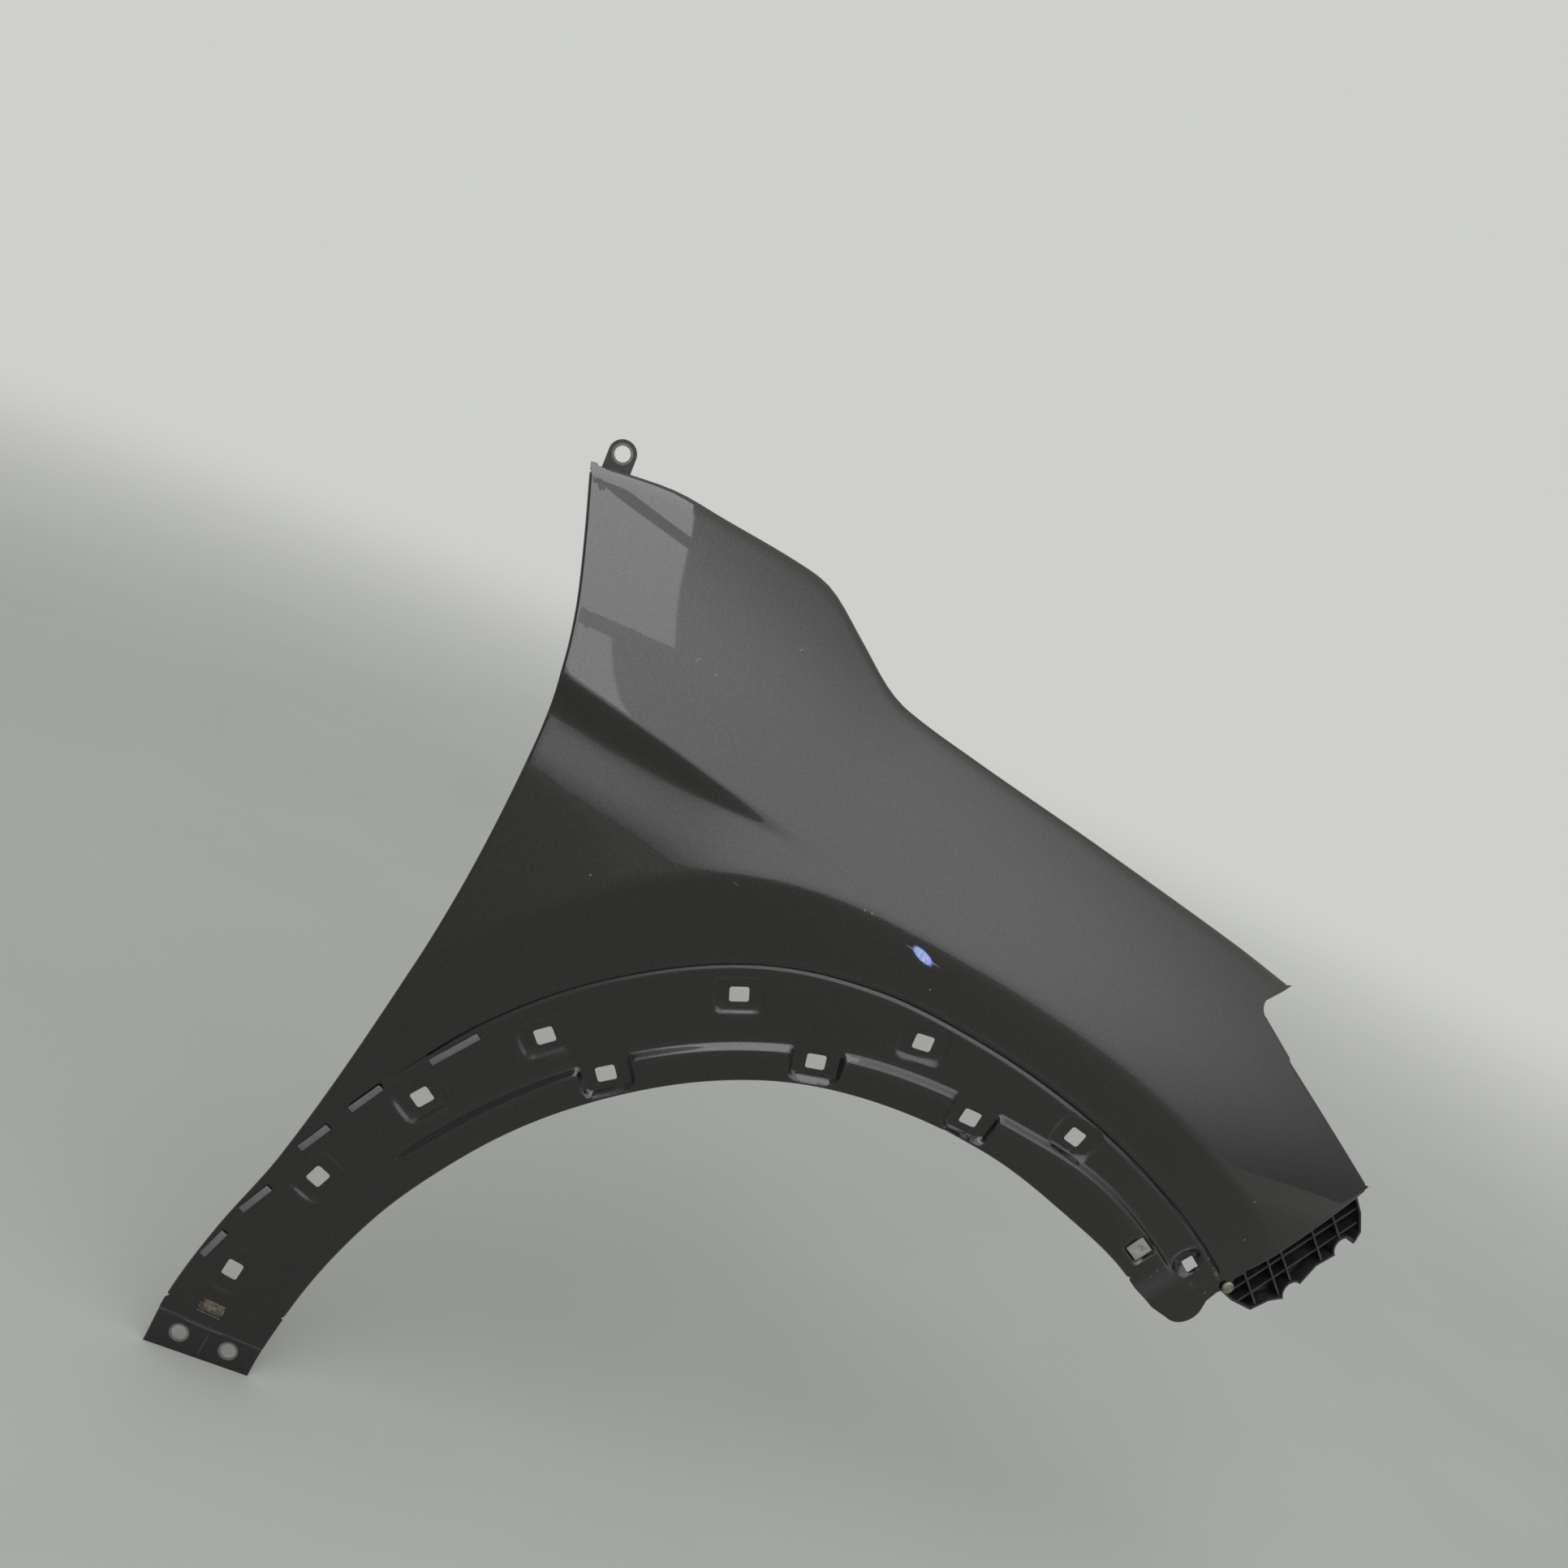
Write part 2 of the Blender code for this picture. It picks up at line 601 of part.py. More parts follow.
def make_hole_cutters(collection):
    """Clip holes, bolt holes and the headlamp notch, as one set of separate cutters."""
    bm = bmesh.new()
    for angle, r in OUTER_CLIPS + INNER_CLIPS:
        add_box(bm, (CLIP_HOLE[0], THROUGH, CLIP_HOLE[1]), seat(angle, r), CLIP_CORNER)
    add_box(bm, (PLUG_HOLE, THROUGH, PLUG_HOLE), seat(*PLUG_PLACE), CLIP_CORNER)
    add_box(bm, (SLOT_HOLE[1], THROUGH, SLOT_HOLE[0]), seat(*SLOT_PLACE), CLIP_CORNER)
    for x, z in FOOT_HOLES:
        add_rod(bm, FOOT_HOLE, THROUGH, seat_at(x, z))
    add_rod(bm, RIVET_SHANK + 2 * CLEARANCE, 0.008, seat_at(*RIVET_PLACE), 16)
    for x in HOOD_BOLTS:
        add_rod(bm, HOOD_BOLT_HOLE, 0.010, hood_ledge_place(x) @ Matrix.Rotation(pi / 2, 4, "X"))
    notch = Matrix.Translation(on_face(LAMP_TOP[0] + 0.006, LAMP_TOP[1] + 0.010))
    add_rod(bm, 2 * NOTCH_RADIUS, 2 * THROUGH, notch, 32)
    return new_object("fender_hole_cutters", bm, collection)


def hood_ledge_place(x):
    """Middle of the level ledge under the hood edge, at a place along the car."""
    z = along(HOOD_EDGE, x)
    slope = (along(HOOD_EDGE, x + 0.004) - along(HOOD_EDGE, x - 0.004)) / 0.008
    edge = on_face(x, z)
    into = inward(x, z)
    out = Vector((1, 0, slope)).cross(into).normalized()
    if out.z < 0:
        out = -out
    a = radians(104)
    wall = FOLD_RADIUS * (into * (1 - cos(a)) - out * (1 - sin(a)))
    wall += HOOD_WALL * (out * cos(a) + into * sin(a))
    return Matrix.Translation(edge + wall + Vector((0, HOOD_LEDGE * 0.58, 0)))


def arc(centre, radius, start, end, steps):
    """Points of an arc, angles in degrees."""
    angles = (radians(start + (end - start) * k / steps) for k in range(steps + 1))
    return [(centre[0] + radius * cos(a), centre[1] + radius * sin(a)) for a in angles]


def prism(bm, outline, y0, y1):
    """A closed prism between two depths from an outline in X and Z."""
    cap = bm.faces.new([bm.verts.new((x, y0, z)) for x, z in outline])
    made = bmesh.ops.extrude_face_region(bm, geom=[cap])["geom"]
    fresh = [g for g in made if isinstance(g, bmesh.types.BMVert)]
    bmesh.ops.translate(bm, vec=(0, y1 - y0, 0), verts=fresh)
    bmesh.ops.recalc_face_normals(bm, faces=bm.faces)


def make_lobe_cutter(collection):
    """Trims the front tip of the arch to its rounded lobe and the lug that takes the rivet."""
    cx, cz = LOBE_CENTRE
    outline = [polar(53.9, opening(53.9) - 0.0004), LOBE_SIDE]
    outline += arc(LOBE_CENTRE, LOBE_RADIUS, 245, 350, 8) + LOBE_THROAT
    outline += arc(RIVET_PLACE, LUG_RADIUS, 240, 420, 8)
    ahead = Vector((sin(radians(END_ANGLE)), -cos(radians(END_ANGLE))))
    for r, forward in ((LUG_END, FOLD_RADIUS), (FRONT_START, FOLD_RADIUS), (FRONT_START, 0.060)):
        x, z = polar(END_ANGLE, r)
        outline.append((x + forward * ahead.x, z + forward * ahead.y))
    outline += [(cx + 0.060, cz - 0.050), (cx - 0.040, cz - 0.050)]
    outline.append(polar(53.9, opening(53.9) - 0.025))
    bm = bmesh.new()
    level = face(cx, cz)
    prism(bm, outline, level - 0.040, level + 0.060)
    return new_object("fender_lobe_cutter", bm, collection)


def make_tab(collection):
    """The bolt lug that stands up behind the rear end of the hood edge."""
    bm = bmesh.new()
    cx, cz = TAB_CENTRE
    y = face(cx, along(HOOD_EDGE, cx)) + TAB_SETBACK
    half = TAB_WIDTH / 2
    outline = [(cx - half, cz - TAB_ROOT), (cx + half, cz - TAB_ROOT)]
    outline += arc(TAB_CENTRE, half, 0, 180, 14)
    prism(bm, outline, y, y + SHEET)
    return new_object("fender_tab_blank", bm, collection)


def make_tab_hole_cutter(collection):
    bm = bmesh.new()
    cx, cz = TAB_CENTRE
    y = face(cx, along(HOOD_EDGE, cx)) + TAB_SETBACK
    add_rod(bm, TAB_HOLE, 0.010, Matrix.Translation((cx, y, cz)))
    return new_object("fender_tab_hole_cutter", bm, collection)


def boolean(obj, other, operation):
    modifier = obj.modifiers.new(f"{operation.lower()}_{other.name}", "BOOLEAN")
    modifier.object = other
    modifier.operation = operation
    modifier.solver = "EXACT"


def make_fender(parts, cutters):
    obj = new_object("fender_panel", make_skin_sheet(), parts)
    thick = obj.modifiers.new("sheet", "SOLIDIFY")
    thick.thickness = SHEET
    thick.offset = -1.0
    thick.use_even_offset = True
    thick.use_quality_normals = True
    boolean(obj, make_tab(cutters), "UNION")
    boolean(obj, make_hole_cutters(cutters), "DIFFERENCE")
    boolean(obj, make_lobe_cutter(cutters), "DIFFERENCE")
    boolean(obj, make_tab_hole_cutter(cutters), "DIFFERENCE")


def guide_frame():
    """Frame of the bumper guide: X forward of the front edge, Y into the car, Z up along it."""
    root = on_face(*polar(END_ANGLE, GUIDE_START))
    head = on_face(*polar(END_ANGLE, GUIDE_START + 0.125))
    up_edge = (head - root).normalized()
    normal = inward(*polar(END_ANGLE, ARCH_RADIUS + 0.130))
    ahead = normal.cross(up_edge).normalized()
    frame = Matrix((ahead, up_edge.cross(ahead), up_edge)).transposed().to_4x4()
    frame.translation = root
    return frame


def guide_scoops(name, radius, frame, cutters):
    """Rods that cut the two round scoops in the guide's outer side."""
    bm = bmesh.new()
    for u, w in GUIDE_SCOOPS:
        add_rod(bm, 2 * radius, 2 * THROUGH, frame @ Matrix.Translation((w, GUIDE_SET_BACK, u)), 32)
    return new_object(name, bm, cutters)


def make_guide(parts, cutters):
    frame = guide_frame()
    outline = [(w, u) for u, w in GUIDE_OUTLINE]
    front, back = GUIDE_SET_BACK, GUIDE_SET_BACK + GUIDE_DEPTH
    bm = bmesh.new()
    prism(bm, outline, front, back)
    bmesh.ops.transform(bm, matrix=frame, verts=bm.verts)
    obj = new_object("bumper_guide", bm, parts)

    bm = bmesh.new()
    prism(bm, outline, front - 0.001, back - GUIDE_FLOOR)
    cap = next(f for f in bm.faces if f.normal.y < -0.9 and len(f.verts) > 4)
    bmesh.ops.inset_region(bm, faces=[cap], thickness=GUIDE_WALL, use_even_offset=True)
    inner = [(v.co.x, v.co.z) for v in cap.verts]
    bm.free()
    bm = bmesh.new()
    prism(bm, inner, front - 0.001, back - GUIDE_FLOOR)
    bmesh.ops.transform(bm, matrix=frame, verts=bm.verts)
    well = new_object("guide_well", bm, cutters)
    bm = bmesh.new()
    for u in GUIDE_CROSS_RIBS:
        middle = Matrix.Translation((0.020, front + 0.0015 + GUIDE_DEPTH / 2, u))
        add_box(bm, (0.070, GUIDE_DEPTH, GUIDE_WALL), frame @ middle)
    cross = new_object("guide_cross_ribs", bm, cutters)
    bm = bmesh.new()
    for w in GUIDE_LONG_RIBS:
        middle = Matrix.Translation((w, front + 0.0025 + GUIDE_DEPTH / 2, 0.060))
        add_box(bm, (GUIDE_WALL, GUIDE_DEPTH, 0.160), frame @ middle)
    longways = new_object("guide_long_ribs", bm, cutters)
    wider = guide_scoops("guide_scoop_walls", SCOOP_RADIUS + GUIDE_WALL, frame, cutters)
    boolean(well, wider, "DIFFERENCE")
    boolean(well, cross, "DIFFERENCE")
    boolean(well, longways, "DIFFERENCE")
    boolean(obj, well, "DIFFERENCE")
    boolean(obj, guide_scoops("guide_scoops", SCOOP_RADIUS, frame, cutters), "DIFFERENCE")

    bm = bmesh.new()
    u, w, length, width = GUIDE_SLOT
    add_box(bm, (width, 0.008, length), frame @ Matrix.Translation((w, back, u)))
    boolean(obj, new_object("guide_slot", bm, cutters), "DIFFERENCE")

    rivet = seat_at(*RIVET_PLACE)
    top = SHEET + 2 * CLEARANCE
    bm = bmesh.new()
    add_rod(bm, 2 * LUG_RADIUS, 0.014, rivet @ Matrix.Translation((0, top + 0.007, 0)))
    boolean(obj, new_object("guide_boss", bm, cutters), "UNION")
    bm = bmesh.new()
    reach = RIVET_GRIP - top
    add_rod(bm, 0.0078, 0.030, rivet @ Matrix.Translation((0, top + reach + 0.015, 0)))
    boolean(obj, new_object("guide_boss_core", bm, cutters), "DIFFERENCE")
    bm = bmesh.new()
    add_rod(bm, RIVET_SHANK + 2 * CLEARANCE, 0.030, rivet)
    boolean(obj, new_object("guide_boss_bore", bm, cutters), "DIFFERENCE")

    for n, u in enumerate(GUIDE_TONGUES):
        width, reach, thickness = TONGUE
        depth = TONGUE_DEPTH + thickness / 2
        bm = bmesh.new()
        middle = Matrix.Translation((GUIDE_OUTLINE[0][1] + 0.002 - reach / 2, depth, u))
        add_box(bm, (reach, thickness, width), frame @ middle)
        boolean(obj, new_object(f"guide_tongue_{n + 1}", bm, cutters), "UNION")


def make_rivet(parts, cutters):
    """Blind rivet: a domed head outside, a shank, and the bulb set behind the guide's boss."""
    rivet = seat_at(*RIVET_PLACE)
    diameter, height = RIVET_HEAD
    bm = bmesh.new()
    add_rod(bm, diameter, height, Matrix.Translation((0, -CLEARANCE - height / 2, 0)))
    rim = [e for e in bm.edges if all(v.co.y < -height for v in e.verts)]
    bmesh.ops.bevel(bm, geom=rim, offset=height * 0.7, segments=3, profile=0.5,
                    affect="EDGES", material=-1)
    bmesh.ops.transform(bm, matrix=rivet, verts=bm.verts)
    obj = new_object("guide_rivet", bm, parts)
    bm = bmesh.new()
    length = RIVET_GRIP + 0.002
    add_rod(bm, RIVET_SHANK, length, rivet @ Matrix.Translation((0, length / 2 - 0.001, 0)), 16)
    boolean(obj, new_object("rivet_shank", bm, cutters), "UNION")
    bm = bmesh.new()
    bulb = Matrix.Translation((0, RIVET_GRIP + CLEARANCE + RIVET_BULB[1] / 2, 0))
    add_rod(bm, *RIVET_BULB, rivet @ bulb, 20)
    boolean(obj, new_object("rivet_bulb", bm, cutters), "UNION")


def make_tape(number, ends, parts):
    """A strip of foam tape stuck on the band, following the face."""
    start, end = Vector(ends[0]), Vector(ends[1])
    side = (end - start).orthogonal().normalized() * TAPE_WIDTH / 2
    bm = bmesh.new()
    bmesh.ops.create_grid(bm, x_segments=6, y_segments=1, size=1.0)
    for v in bm.verts:
        place = start + (end - start) * (v.co.x + 1) / 2 + side * v.co.y
        v.co = on_face(*place) - inward(*place) * (2 * CLEARANCE)
    bmesh.ops.recalc_face_normals(bm, faces=bm.faces)
    if sum((f.normal.y for f in bm.faces)) > 0:
        bmesh.ops.reverse_faces(bm, faces=bm.faces)
    obj = new_object(f"foam_tape_{number}", bm, parts)
    thick = obj.modifiers.new("foam", "SOLIDIFY")
    thick.thickness = TAPE_THICKNESS
    thick.offset = 1.0


def make_clip(parts, cutters):
    """Spring clip behind the slot above the foot: a plate, a raised tongue, two hooks."""
    frame = seat(*SLOT_PLACE)
    width, thickness, length = CLIP_PLATE
    depth = SHEET + 2 * CLEARANCE + thickness / 2
    bm = bmesh.new()
    add_box(bm, CLIP_PLATE, frame @ Matrix.Translation((0, depth, 0)))
    obj = new_object("foot_spring_clip", bm, parts)
    rise = depth + CLIP_HOOK[2]
    pieces = [((CLIP_TONGUE[0], 0.0022, CLIP_TONGUE[1]), (-0.0015, depth - 0.0010, -0.0005))]
    for side in (-1, 1):
        inner = side * (SLOT_HOLE[0] / 2 - CLEARANCE - CLIP_HOOK[1] / 2)
        pieces.append(((CLIP_HOOK[0], rise, CLIP_HOOK[1]), (0, depth - rise / 2, inner)))
        over = inner + side * CLIP_HOOK[1]
        level = depth - rise - 0.0001 + CLIP_LIP[1] / 2
        pieces.append((CLIP_LIP, (0, level, over)))
    for n, (size, middle) in enumerate(pieces):
        bm = bmesh.new()
        add_box(bm, size, frame @ Matrix.Translation(middle))
        boolean(obj, new_object(f"clip_piece_{n + 1}", bm, cutters), "UNION")


def make_plug(parts, cutters):
    """Square plug pressed into the hole near the arch tip."""
    frame = seat(*PLUG_PLACE)
    head, height = PLUG_HEAD
    neck = PLUG_HOLE - 2 * CLEARANCE
    behind = SHEET + 2 * CLEARANCE
    bm = bmesh.new()
    add_box(bm, (head, height, head), frame @ Matrix.Translation((0, -2 * CLEARANCE - height / 2, 0)))
    obj = new_object("arch_plug", bm, parts)
    bm = bmesh.new()
    add_box(bm, (neck, 0.0040, neck), frame @ Matrix.Translation((0, 0.0009, 0)), CLIP_CORNER)
    boolean(obj, new_object("plug_neck", bm, cutters), "UNION")
    bm = bmesh.new()
    lip = neck + 2 * PLUG_LIP
    add_box(bm, (lip, 0.0014, neck * 0.6), frame @ Matrix.Translation((0, behind + 0.0007, 0)))
    boolean(obj, new_object("plug_barbs", bm, cutters), "UNION")
    bm = bmesh.new()
    across, depth = PLUG_DIMPLE
    top = -2 * CLEARANCE - height
    add_rod(bm, across, 2 * depth, frame @ Matrix.Translation((0, top, 0)), 16)
    boolean(obj, new_object("plug_dimple", bm, cutters), "DIFFERENCE")


def give_finish(obj):
    """The piece's own material."""
    kind = next(name for name in FINISHES if obj.name.startswith(name))
    colour, roughness, metallic = FINISHES[kind]
    material = bpy.data.materials.new(obj.name + "_finish")
    material.use_nodes = True
    shader = material.node_tree.nodes["Principled BSDF"]
    shader.inputs["Base Color"].default_value = (*colour, 1.0)
    shader.inputs["Roughness"].default_value = roughness
    shader.inputs["Metallic"].default_value = metallic
    obj.data.materials.append(material)


def build():
    for obj in list(bpy.data.objects):
        bpy.data.objects.remove(obj, do_unlink=True)
    parts = bpy.data.collections.new("car_fender")
    cutters = bpy.data.collections.new("cutters")
    bpy.context.scene.collection.children.link(parts)
    bpy.context.scene.collection.children.link(cutters)
    make_fender(parts, cutters)
    make_guide(parts, cutters)
    make_rivet(parts, cutters)
    make_clip(parts, cutters)
    make_plug(parts, cutters)
    for number, ends in enumerate(TAPES, 1):
        make_tape(number, ends, parts)
    for obj in parts.objects:
        give_finish(obj)
    for obj in cutters.objects:
        obj.hide_render = True
        obj.display_type = "WIRE"
    for obj in list(parts.objects) + list(cutters.objects):
        obj.data.transform(Matrix.Translation(-ORIGIN))


ORIGIN = Vector((MOUNT_POINT[0], FOOT_PLANE + SHEET, MOUNT_POINT[1]))
build()
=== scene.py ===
# %% [markdown]
# A right-hand front fender, taken off the car and stood on a pale studio floor.
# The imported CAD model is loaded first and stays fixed. The pieces that need a finer surface
# are made again around it, at the same size and in the same place.

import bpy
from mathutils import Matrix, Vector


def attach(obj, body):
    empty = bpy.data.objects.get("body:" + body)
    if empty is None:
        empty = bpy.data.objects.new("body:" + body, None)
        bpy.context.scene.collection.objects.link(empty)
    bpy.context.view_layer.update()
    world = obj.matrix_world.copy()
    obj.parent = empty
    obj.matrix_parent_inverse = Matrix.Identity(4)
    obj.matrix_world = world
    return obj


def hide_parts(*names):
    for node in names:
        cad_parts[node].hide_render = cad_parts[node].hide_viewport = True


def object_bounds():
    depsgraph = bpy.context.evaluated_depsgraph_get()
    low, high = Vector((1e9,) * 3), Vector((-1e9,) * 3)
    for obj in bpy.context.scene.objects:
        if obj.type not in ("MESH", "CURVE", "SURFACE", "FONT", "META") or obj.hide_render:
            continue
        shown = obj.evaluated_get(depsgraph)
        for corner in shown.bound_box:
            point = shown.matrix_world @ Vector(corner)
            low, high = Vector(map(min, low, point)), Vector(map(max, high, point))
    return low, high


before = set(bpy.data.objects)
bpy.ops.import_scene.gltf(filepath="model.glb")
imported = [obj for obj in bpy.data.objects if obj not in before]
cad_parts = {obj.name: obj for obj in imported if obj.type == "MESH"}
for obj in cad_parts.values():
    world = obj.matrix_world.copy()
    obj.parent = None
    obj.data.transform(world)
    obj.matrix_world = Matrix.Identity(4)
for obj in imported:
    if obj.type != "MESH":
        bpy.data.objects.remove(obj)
cad_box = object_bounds()
print("nodes:", sorted(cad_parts))

# %% [markdown]
# Shapes are made with bmesh, Blender's mesh tools that need no open window. All lengths are
# in metres and all angles in degrees, and both are turned into what Blender wants where used.

# %% Modules for shapes and sums
from math import atan2, ceil, cos, degrees, exp, hypot, pi, radians, sin, sqrt

import bmesh
import bpy
from mathutils import Matrix, Vector

print("Blender", bpy.app.version_string)

# %% [markdown]
# The camera comes first, because everything is compared with the photograph. It stands a
# metre in front of the painted face, a little above it, looking down, and is rolled, as a
# hand-held phone is. A camera looks along its own -Z, so its rotation is built from the
# direction it looks in and from the direction that is up in the picture.

# %% Camera
CAMERA_PLACE = Vector((0.11858, -1.06231, 0.73781))
CAMERA_AHEAD = Vector((0.10496, 0.97909, -0.17424)).normalized()
CAMERA_UP = Vector((-0.37398, 0.20120, 0.90535)).normalized()
LENS_MM = 36.09

camera = bpy.data.objects.new("studio_camera", bpy.data.cameras.new("studio_camera"))
bpy.context.scene.collection.objects.link(camera)
camera_right = CAMERA_AHEAD.cross(CAMERA_UP).normalized()
turn = Matrix((camera_right, camera_right.cross(CAMERA_AHEAD), -CAMERA_AHEAD)).transposed()
camera.matrix_world = Matrix.Translation(CAMERA_PLACE) @ turn.to_4x4()
camera.data.lens = LENS_MM
camera.data.sensor_width = 36.0
camera.data.clip_start = 0.02
camera.data.clip_end = 60.0
bpy.context.scene.camera = camera
bpy.context.scene.view_settings.view_transform = "Standard"
print("camera", round(LENS_MM, 2), "mm, at", tuple(round(c, 3) for c in CAMERA_PLACE))

# %% [markdown]
# Materials are node trees. Typing them out node by node hides what they do, so two small
# classes help: Amount lets a value take part in ordinary sums, and Nodes adds any other
# node from its type, its settings and what goes into its sockets.

# %% A value that can be summed


class Amount:
    """A value socket that can be used in Python sums, each of which adds a Math node."""

    def __init__(self, nodes, socket):
        self.nodes = nodes
        self.socket = socket

    def math(self, operation, *operands, clamp=False):
        settings = {"operation": operation, "use_clamp": clamp}
        node = self.nodes.add("ShaderNodeMath", settings, dict(enumerate(operands)))
        return Amount(self.nodes, node.outputs[0])

    def __add__(self, other):
        return self.math("ADD", self, other)

    def __radd__(self, other):
        return self.math("ADD", other, self)

    def __sub__(self, other):
        return self.math("SUBTRACT", self, other)

    def __rsub__(self, other):
        return self.math("SUBTRACT", other, self)

    def __mul__(self, other):
        return self.math("MULTIPLY", self, other)

    def __rmul__(self, other):
        return self.math("MULTIPLY", other, self)

    def __truediv__(self, other):
        return self.math("DIVIDE", self, other)

    def __rtruediv__(self, other):
        return self.math("DIVIDE", other, self)

    def __pow__(self, other):
        return self.math("POWER", self, other)

    def clamped(self):
        return self.math("ADD", self, 0.0, clamp=True)

    def higher(self, other):
        return self.math("MAXIMUM", self, other)

    def root(self):
        return self.math("SQRT", self)


# %% A node tree being built


class Nodes:
    """A node tree being built: a material's, or the world's."""

    def __init__(self, tree):
        self.tree = tree
        tree.nodes.clear()

    def put(self, socket, value):
        value = value.socket if isinstance(value, Amount) else value
        if isinstance(value, bpy.types.NodeSocket):
            self.tree.links.new(value, socket)
        else:
            socket.default_value = value

    def add(self, kind, settings=None, inputs=None):
        node = self.tree.nodes.new(kind)
        for name, value in (settings or {}).items():
            setattr(node, name, value)
        for name, value in (inputs or {}).items():
            self.put(node.inputs[name], value)
        return node

    def value(self, kind, settings=None, inputs=None):
        return Amount(self, self.add(kind, settings, inputs).outputs[0])

    def mix(self, share, first, second):
        """Colour between two colours."""
        settings = {"data_type": "RGBA", "clamp_factor": True}
        return self.add("ShaderNodeMix", settings, {0: share, 6: first, 7: second}).outputs[2]

    def places(self):
        """The point on the piece, in metres in the frame of the CAD model."""
        return self.add("ShaderNodeTexCoord").outputs["Object"]

    def noise(self, places, scale, detail=2.0, roughness=0.5):
        inputs = {"Vector": places, "Scale": scale, "Detail": detail, "Roughness": roughness}
        return self.value("ShaderNodeTexNoise", {}, inputs)

    def stretch(self, places, size=(1, 1, 1), turn=(0, 0, 0), shift=(0, 0, 0)):
        inputs = {"Vector": places, "Location": shift, "Rotation": turn, "Scale": size}
        return self.add("ShaderNodeMapping", {"vector_type": "POINT"}, inputs).outputs[0]

    def band(self, amount, low, high):
        """0 below low, 1 above high, eased between."""
        inputs = {0: amount, 1: low, 2: high, 3: 0.0, 4: 1.0}
        return self.value("ShaderNodeMapRange", {"interpolation_type": "SMOOTHSTEP"}, inputs)

    def bump(self, height, distance, strength=1.0, normal=None):
        inputs = {"Height": height, "Distance": distance, "Strength": strength}
        if normal is not None:
            inputs["Normal"] = normal
        return self.add("ShaderNodeBump", {}, inputs).outputs[0]


# %% A finish


def finish(name, build, last=None, **constants):
    """A material whose fixed values are set on the shader, and whose others build() gives."""
    material = bpy.data.materials.new(name)
    material.use_nodes = True
    nodes = Nodes(material.node_tree)
    shader = nodes.add("ShaderNodeBsdfPrincipled")
    for socket, value in constants.items():
        nodes.put(shader.inputs[socket.replace("_", " ")], value)
    for socket, value in build(nodes).items():
        nodes.put(shader.inputs[socket], value)
    if last:
        shader = last(nodes, shader)
    nodes.add("ShaderNodeOutputMaterial", {}, {"Surface": shader.outputs[0]})
    print("finish", name, "with", len(material.node_tree.nodes), "nodes")
    return material


# %% [markdown]
# The studio is a plain pale floor under a pale sky. Gloss shows the room rather than itself,
# so the room matters as much as the paint: the sky brightens softly overhead and in front,
# as a softbox does, and matt surfaces still come out at about their own colour. The camera and
# the gloss see the floor pale, while the light that it throws back at the panel is held down
# to what the real, darker floor gave.

# %% Floor and backdrop
BACKDROP = (0.62, 0.63, 0.61, 1.0)
ROOM = (0.30, 0.30, 0.30, 1.0)
SOFTBOX = (2.15, 2.15, 2.17, 1.0)
SOFTBOX_AHEAD = Vector((0.26, -0.72, 0.64)).normalized()
FLOOR_COLOUR = (0.28, 0.288, 0.275, 1.0)
FLOOR_PATCH = (0.31, 0.318, 0.305, 1.0)
FLOOR_BOUNCE = (0.10, 0.10, 0.097, 1.0)
FLOOR_HALF = 20.0
FLOOR_GAP = 0.0003
FLOOR_FADE = (1.6, 6.0)
SOFTBOX_ANGLES = (62, 12)
ROOM_FADE = (-0.35, 0.25)

floor_mesh = bmesh.new()
bmesh.ops.create_grid(floor_mesh, x_segments=4, y_segments=4, size=FLOOR_HALF)
bmesh.ops.translate(floor_mesh, verts=floor_mesh.verts, vec=(0, 0, cad_box[0].z - FLOOR_GAP))
floor = bpy.data.objects.new("studio_floor", bpy.data.meshes.new("studio_floor"))
floor_mesh.to_mesh(floor.data)
floor_mesh.free()
bpy.context.scene.collection.objects.link(floor)


def floor_values(nodes):
    mottle = nodes.noise(nodes.places(), 3.0, 3.0)
    rays = nodes.add("ShaderNodeLightPath").outputs
    seen = Amount(nodes, rays["Is Camera Ray"]).higher(rays["Is Glossy Ray"])
    seen = seen.higher(rays["Is Transmission Ray"])
    pale = nodes.mix(mottle, FLOOR_COLOUR, FLOOR_PATCH)
    return {"Base Color": nodes.mix(seen, FLOOR_BOUNCE, pale)}


def fade_to_backdrop(nodes, shader):
    """Far away, the floor takes the colour of the backdrop, so no horizon cuts the picture."""
    distance = nodes.add("ShaderNodeVectorMath", {"operation": "LENGTH"}, {0: nodes.places()})
    far = nodes.band(Amount(nodes, distance.outputs["Value"]), *FLOOR_FADE)
    glow = nodes.add("ShaderNodeEmission", {}, {"Color": BACKDROP})
    inputs = {0: far, 1: shader.outputs[0], 2: glow.outputs[0]}
    return nodes.add("ShaderNodeMixShader", {}, inputs)


floor_finish = finish("studio_floor", floor_values, fade_to_backdrop, Roughness=0.75)
floor.data.materials.append(floor_finish)
print("floor at", round(cad_box[0].z - FLOOR_GAP, 4))

# %% Sky
world = bpy.data.worlds.new("studio_sky")
world.use_nodes = True
bpy.context.scene.world = world
sky = Nodes(world.node_tree)
ray = sky.add("ShaderNodeLightPath")
seen = Amount(sky, ray.outputs["Is Camera Ray"])
ahead = sky.add("ShaderNodeTexCoord").outputs["Generated"]
both = {0: ahead, 1: SOFTBOX_AHEAD}
facing = sky.add("ShaderNodeVectorMath", {"operation": "DOT_PRODUCT"}, both).outputs["Value"]
glow = sky.band(Amount(sky, facing), *(cos(radians(angle)) for angle in SOFTBOX_ANGLES))
behind = sky.add("ShaderNodeSeparateXYZ", {}, {0: ahead}).outputs["Y"]
room = sky.mix(sky.band(Amount(sky, behind), *ROOM_FADE), ROOM, BACKDROP)
light = sky.mix(glow, room, SOFTBOX)
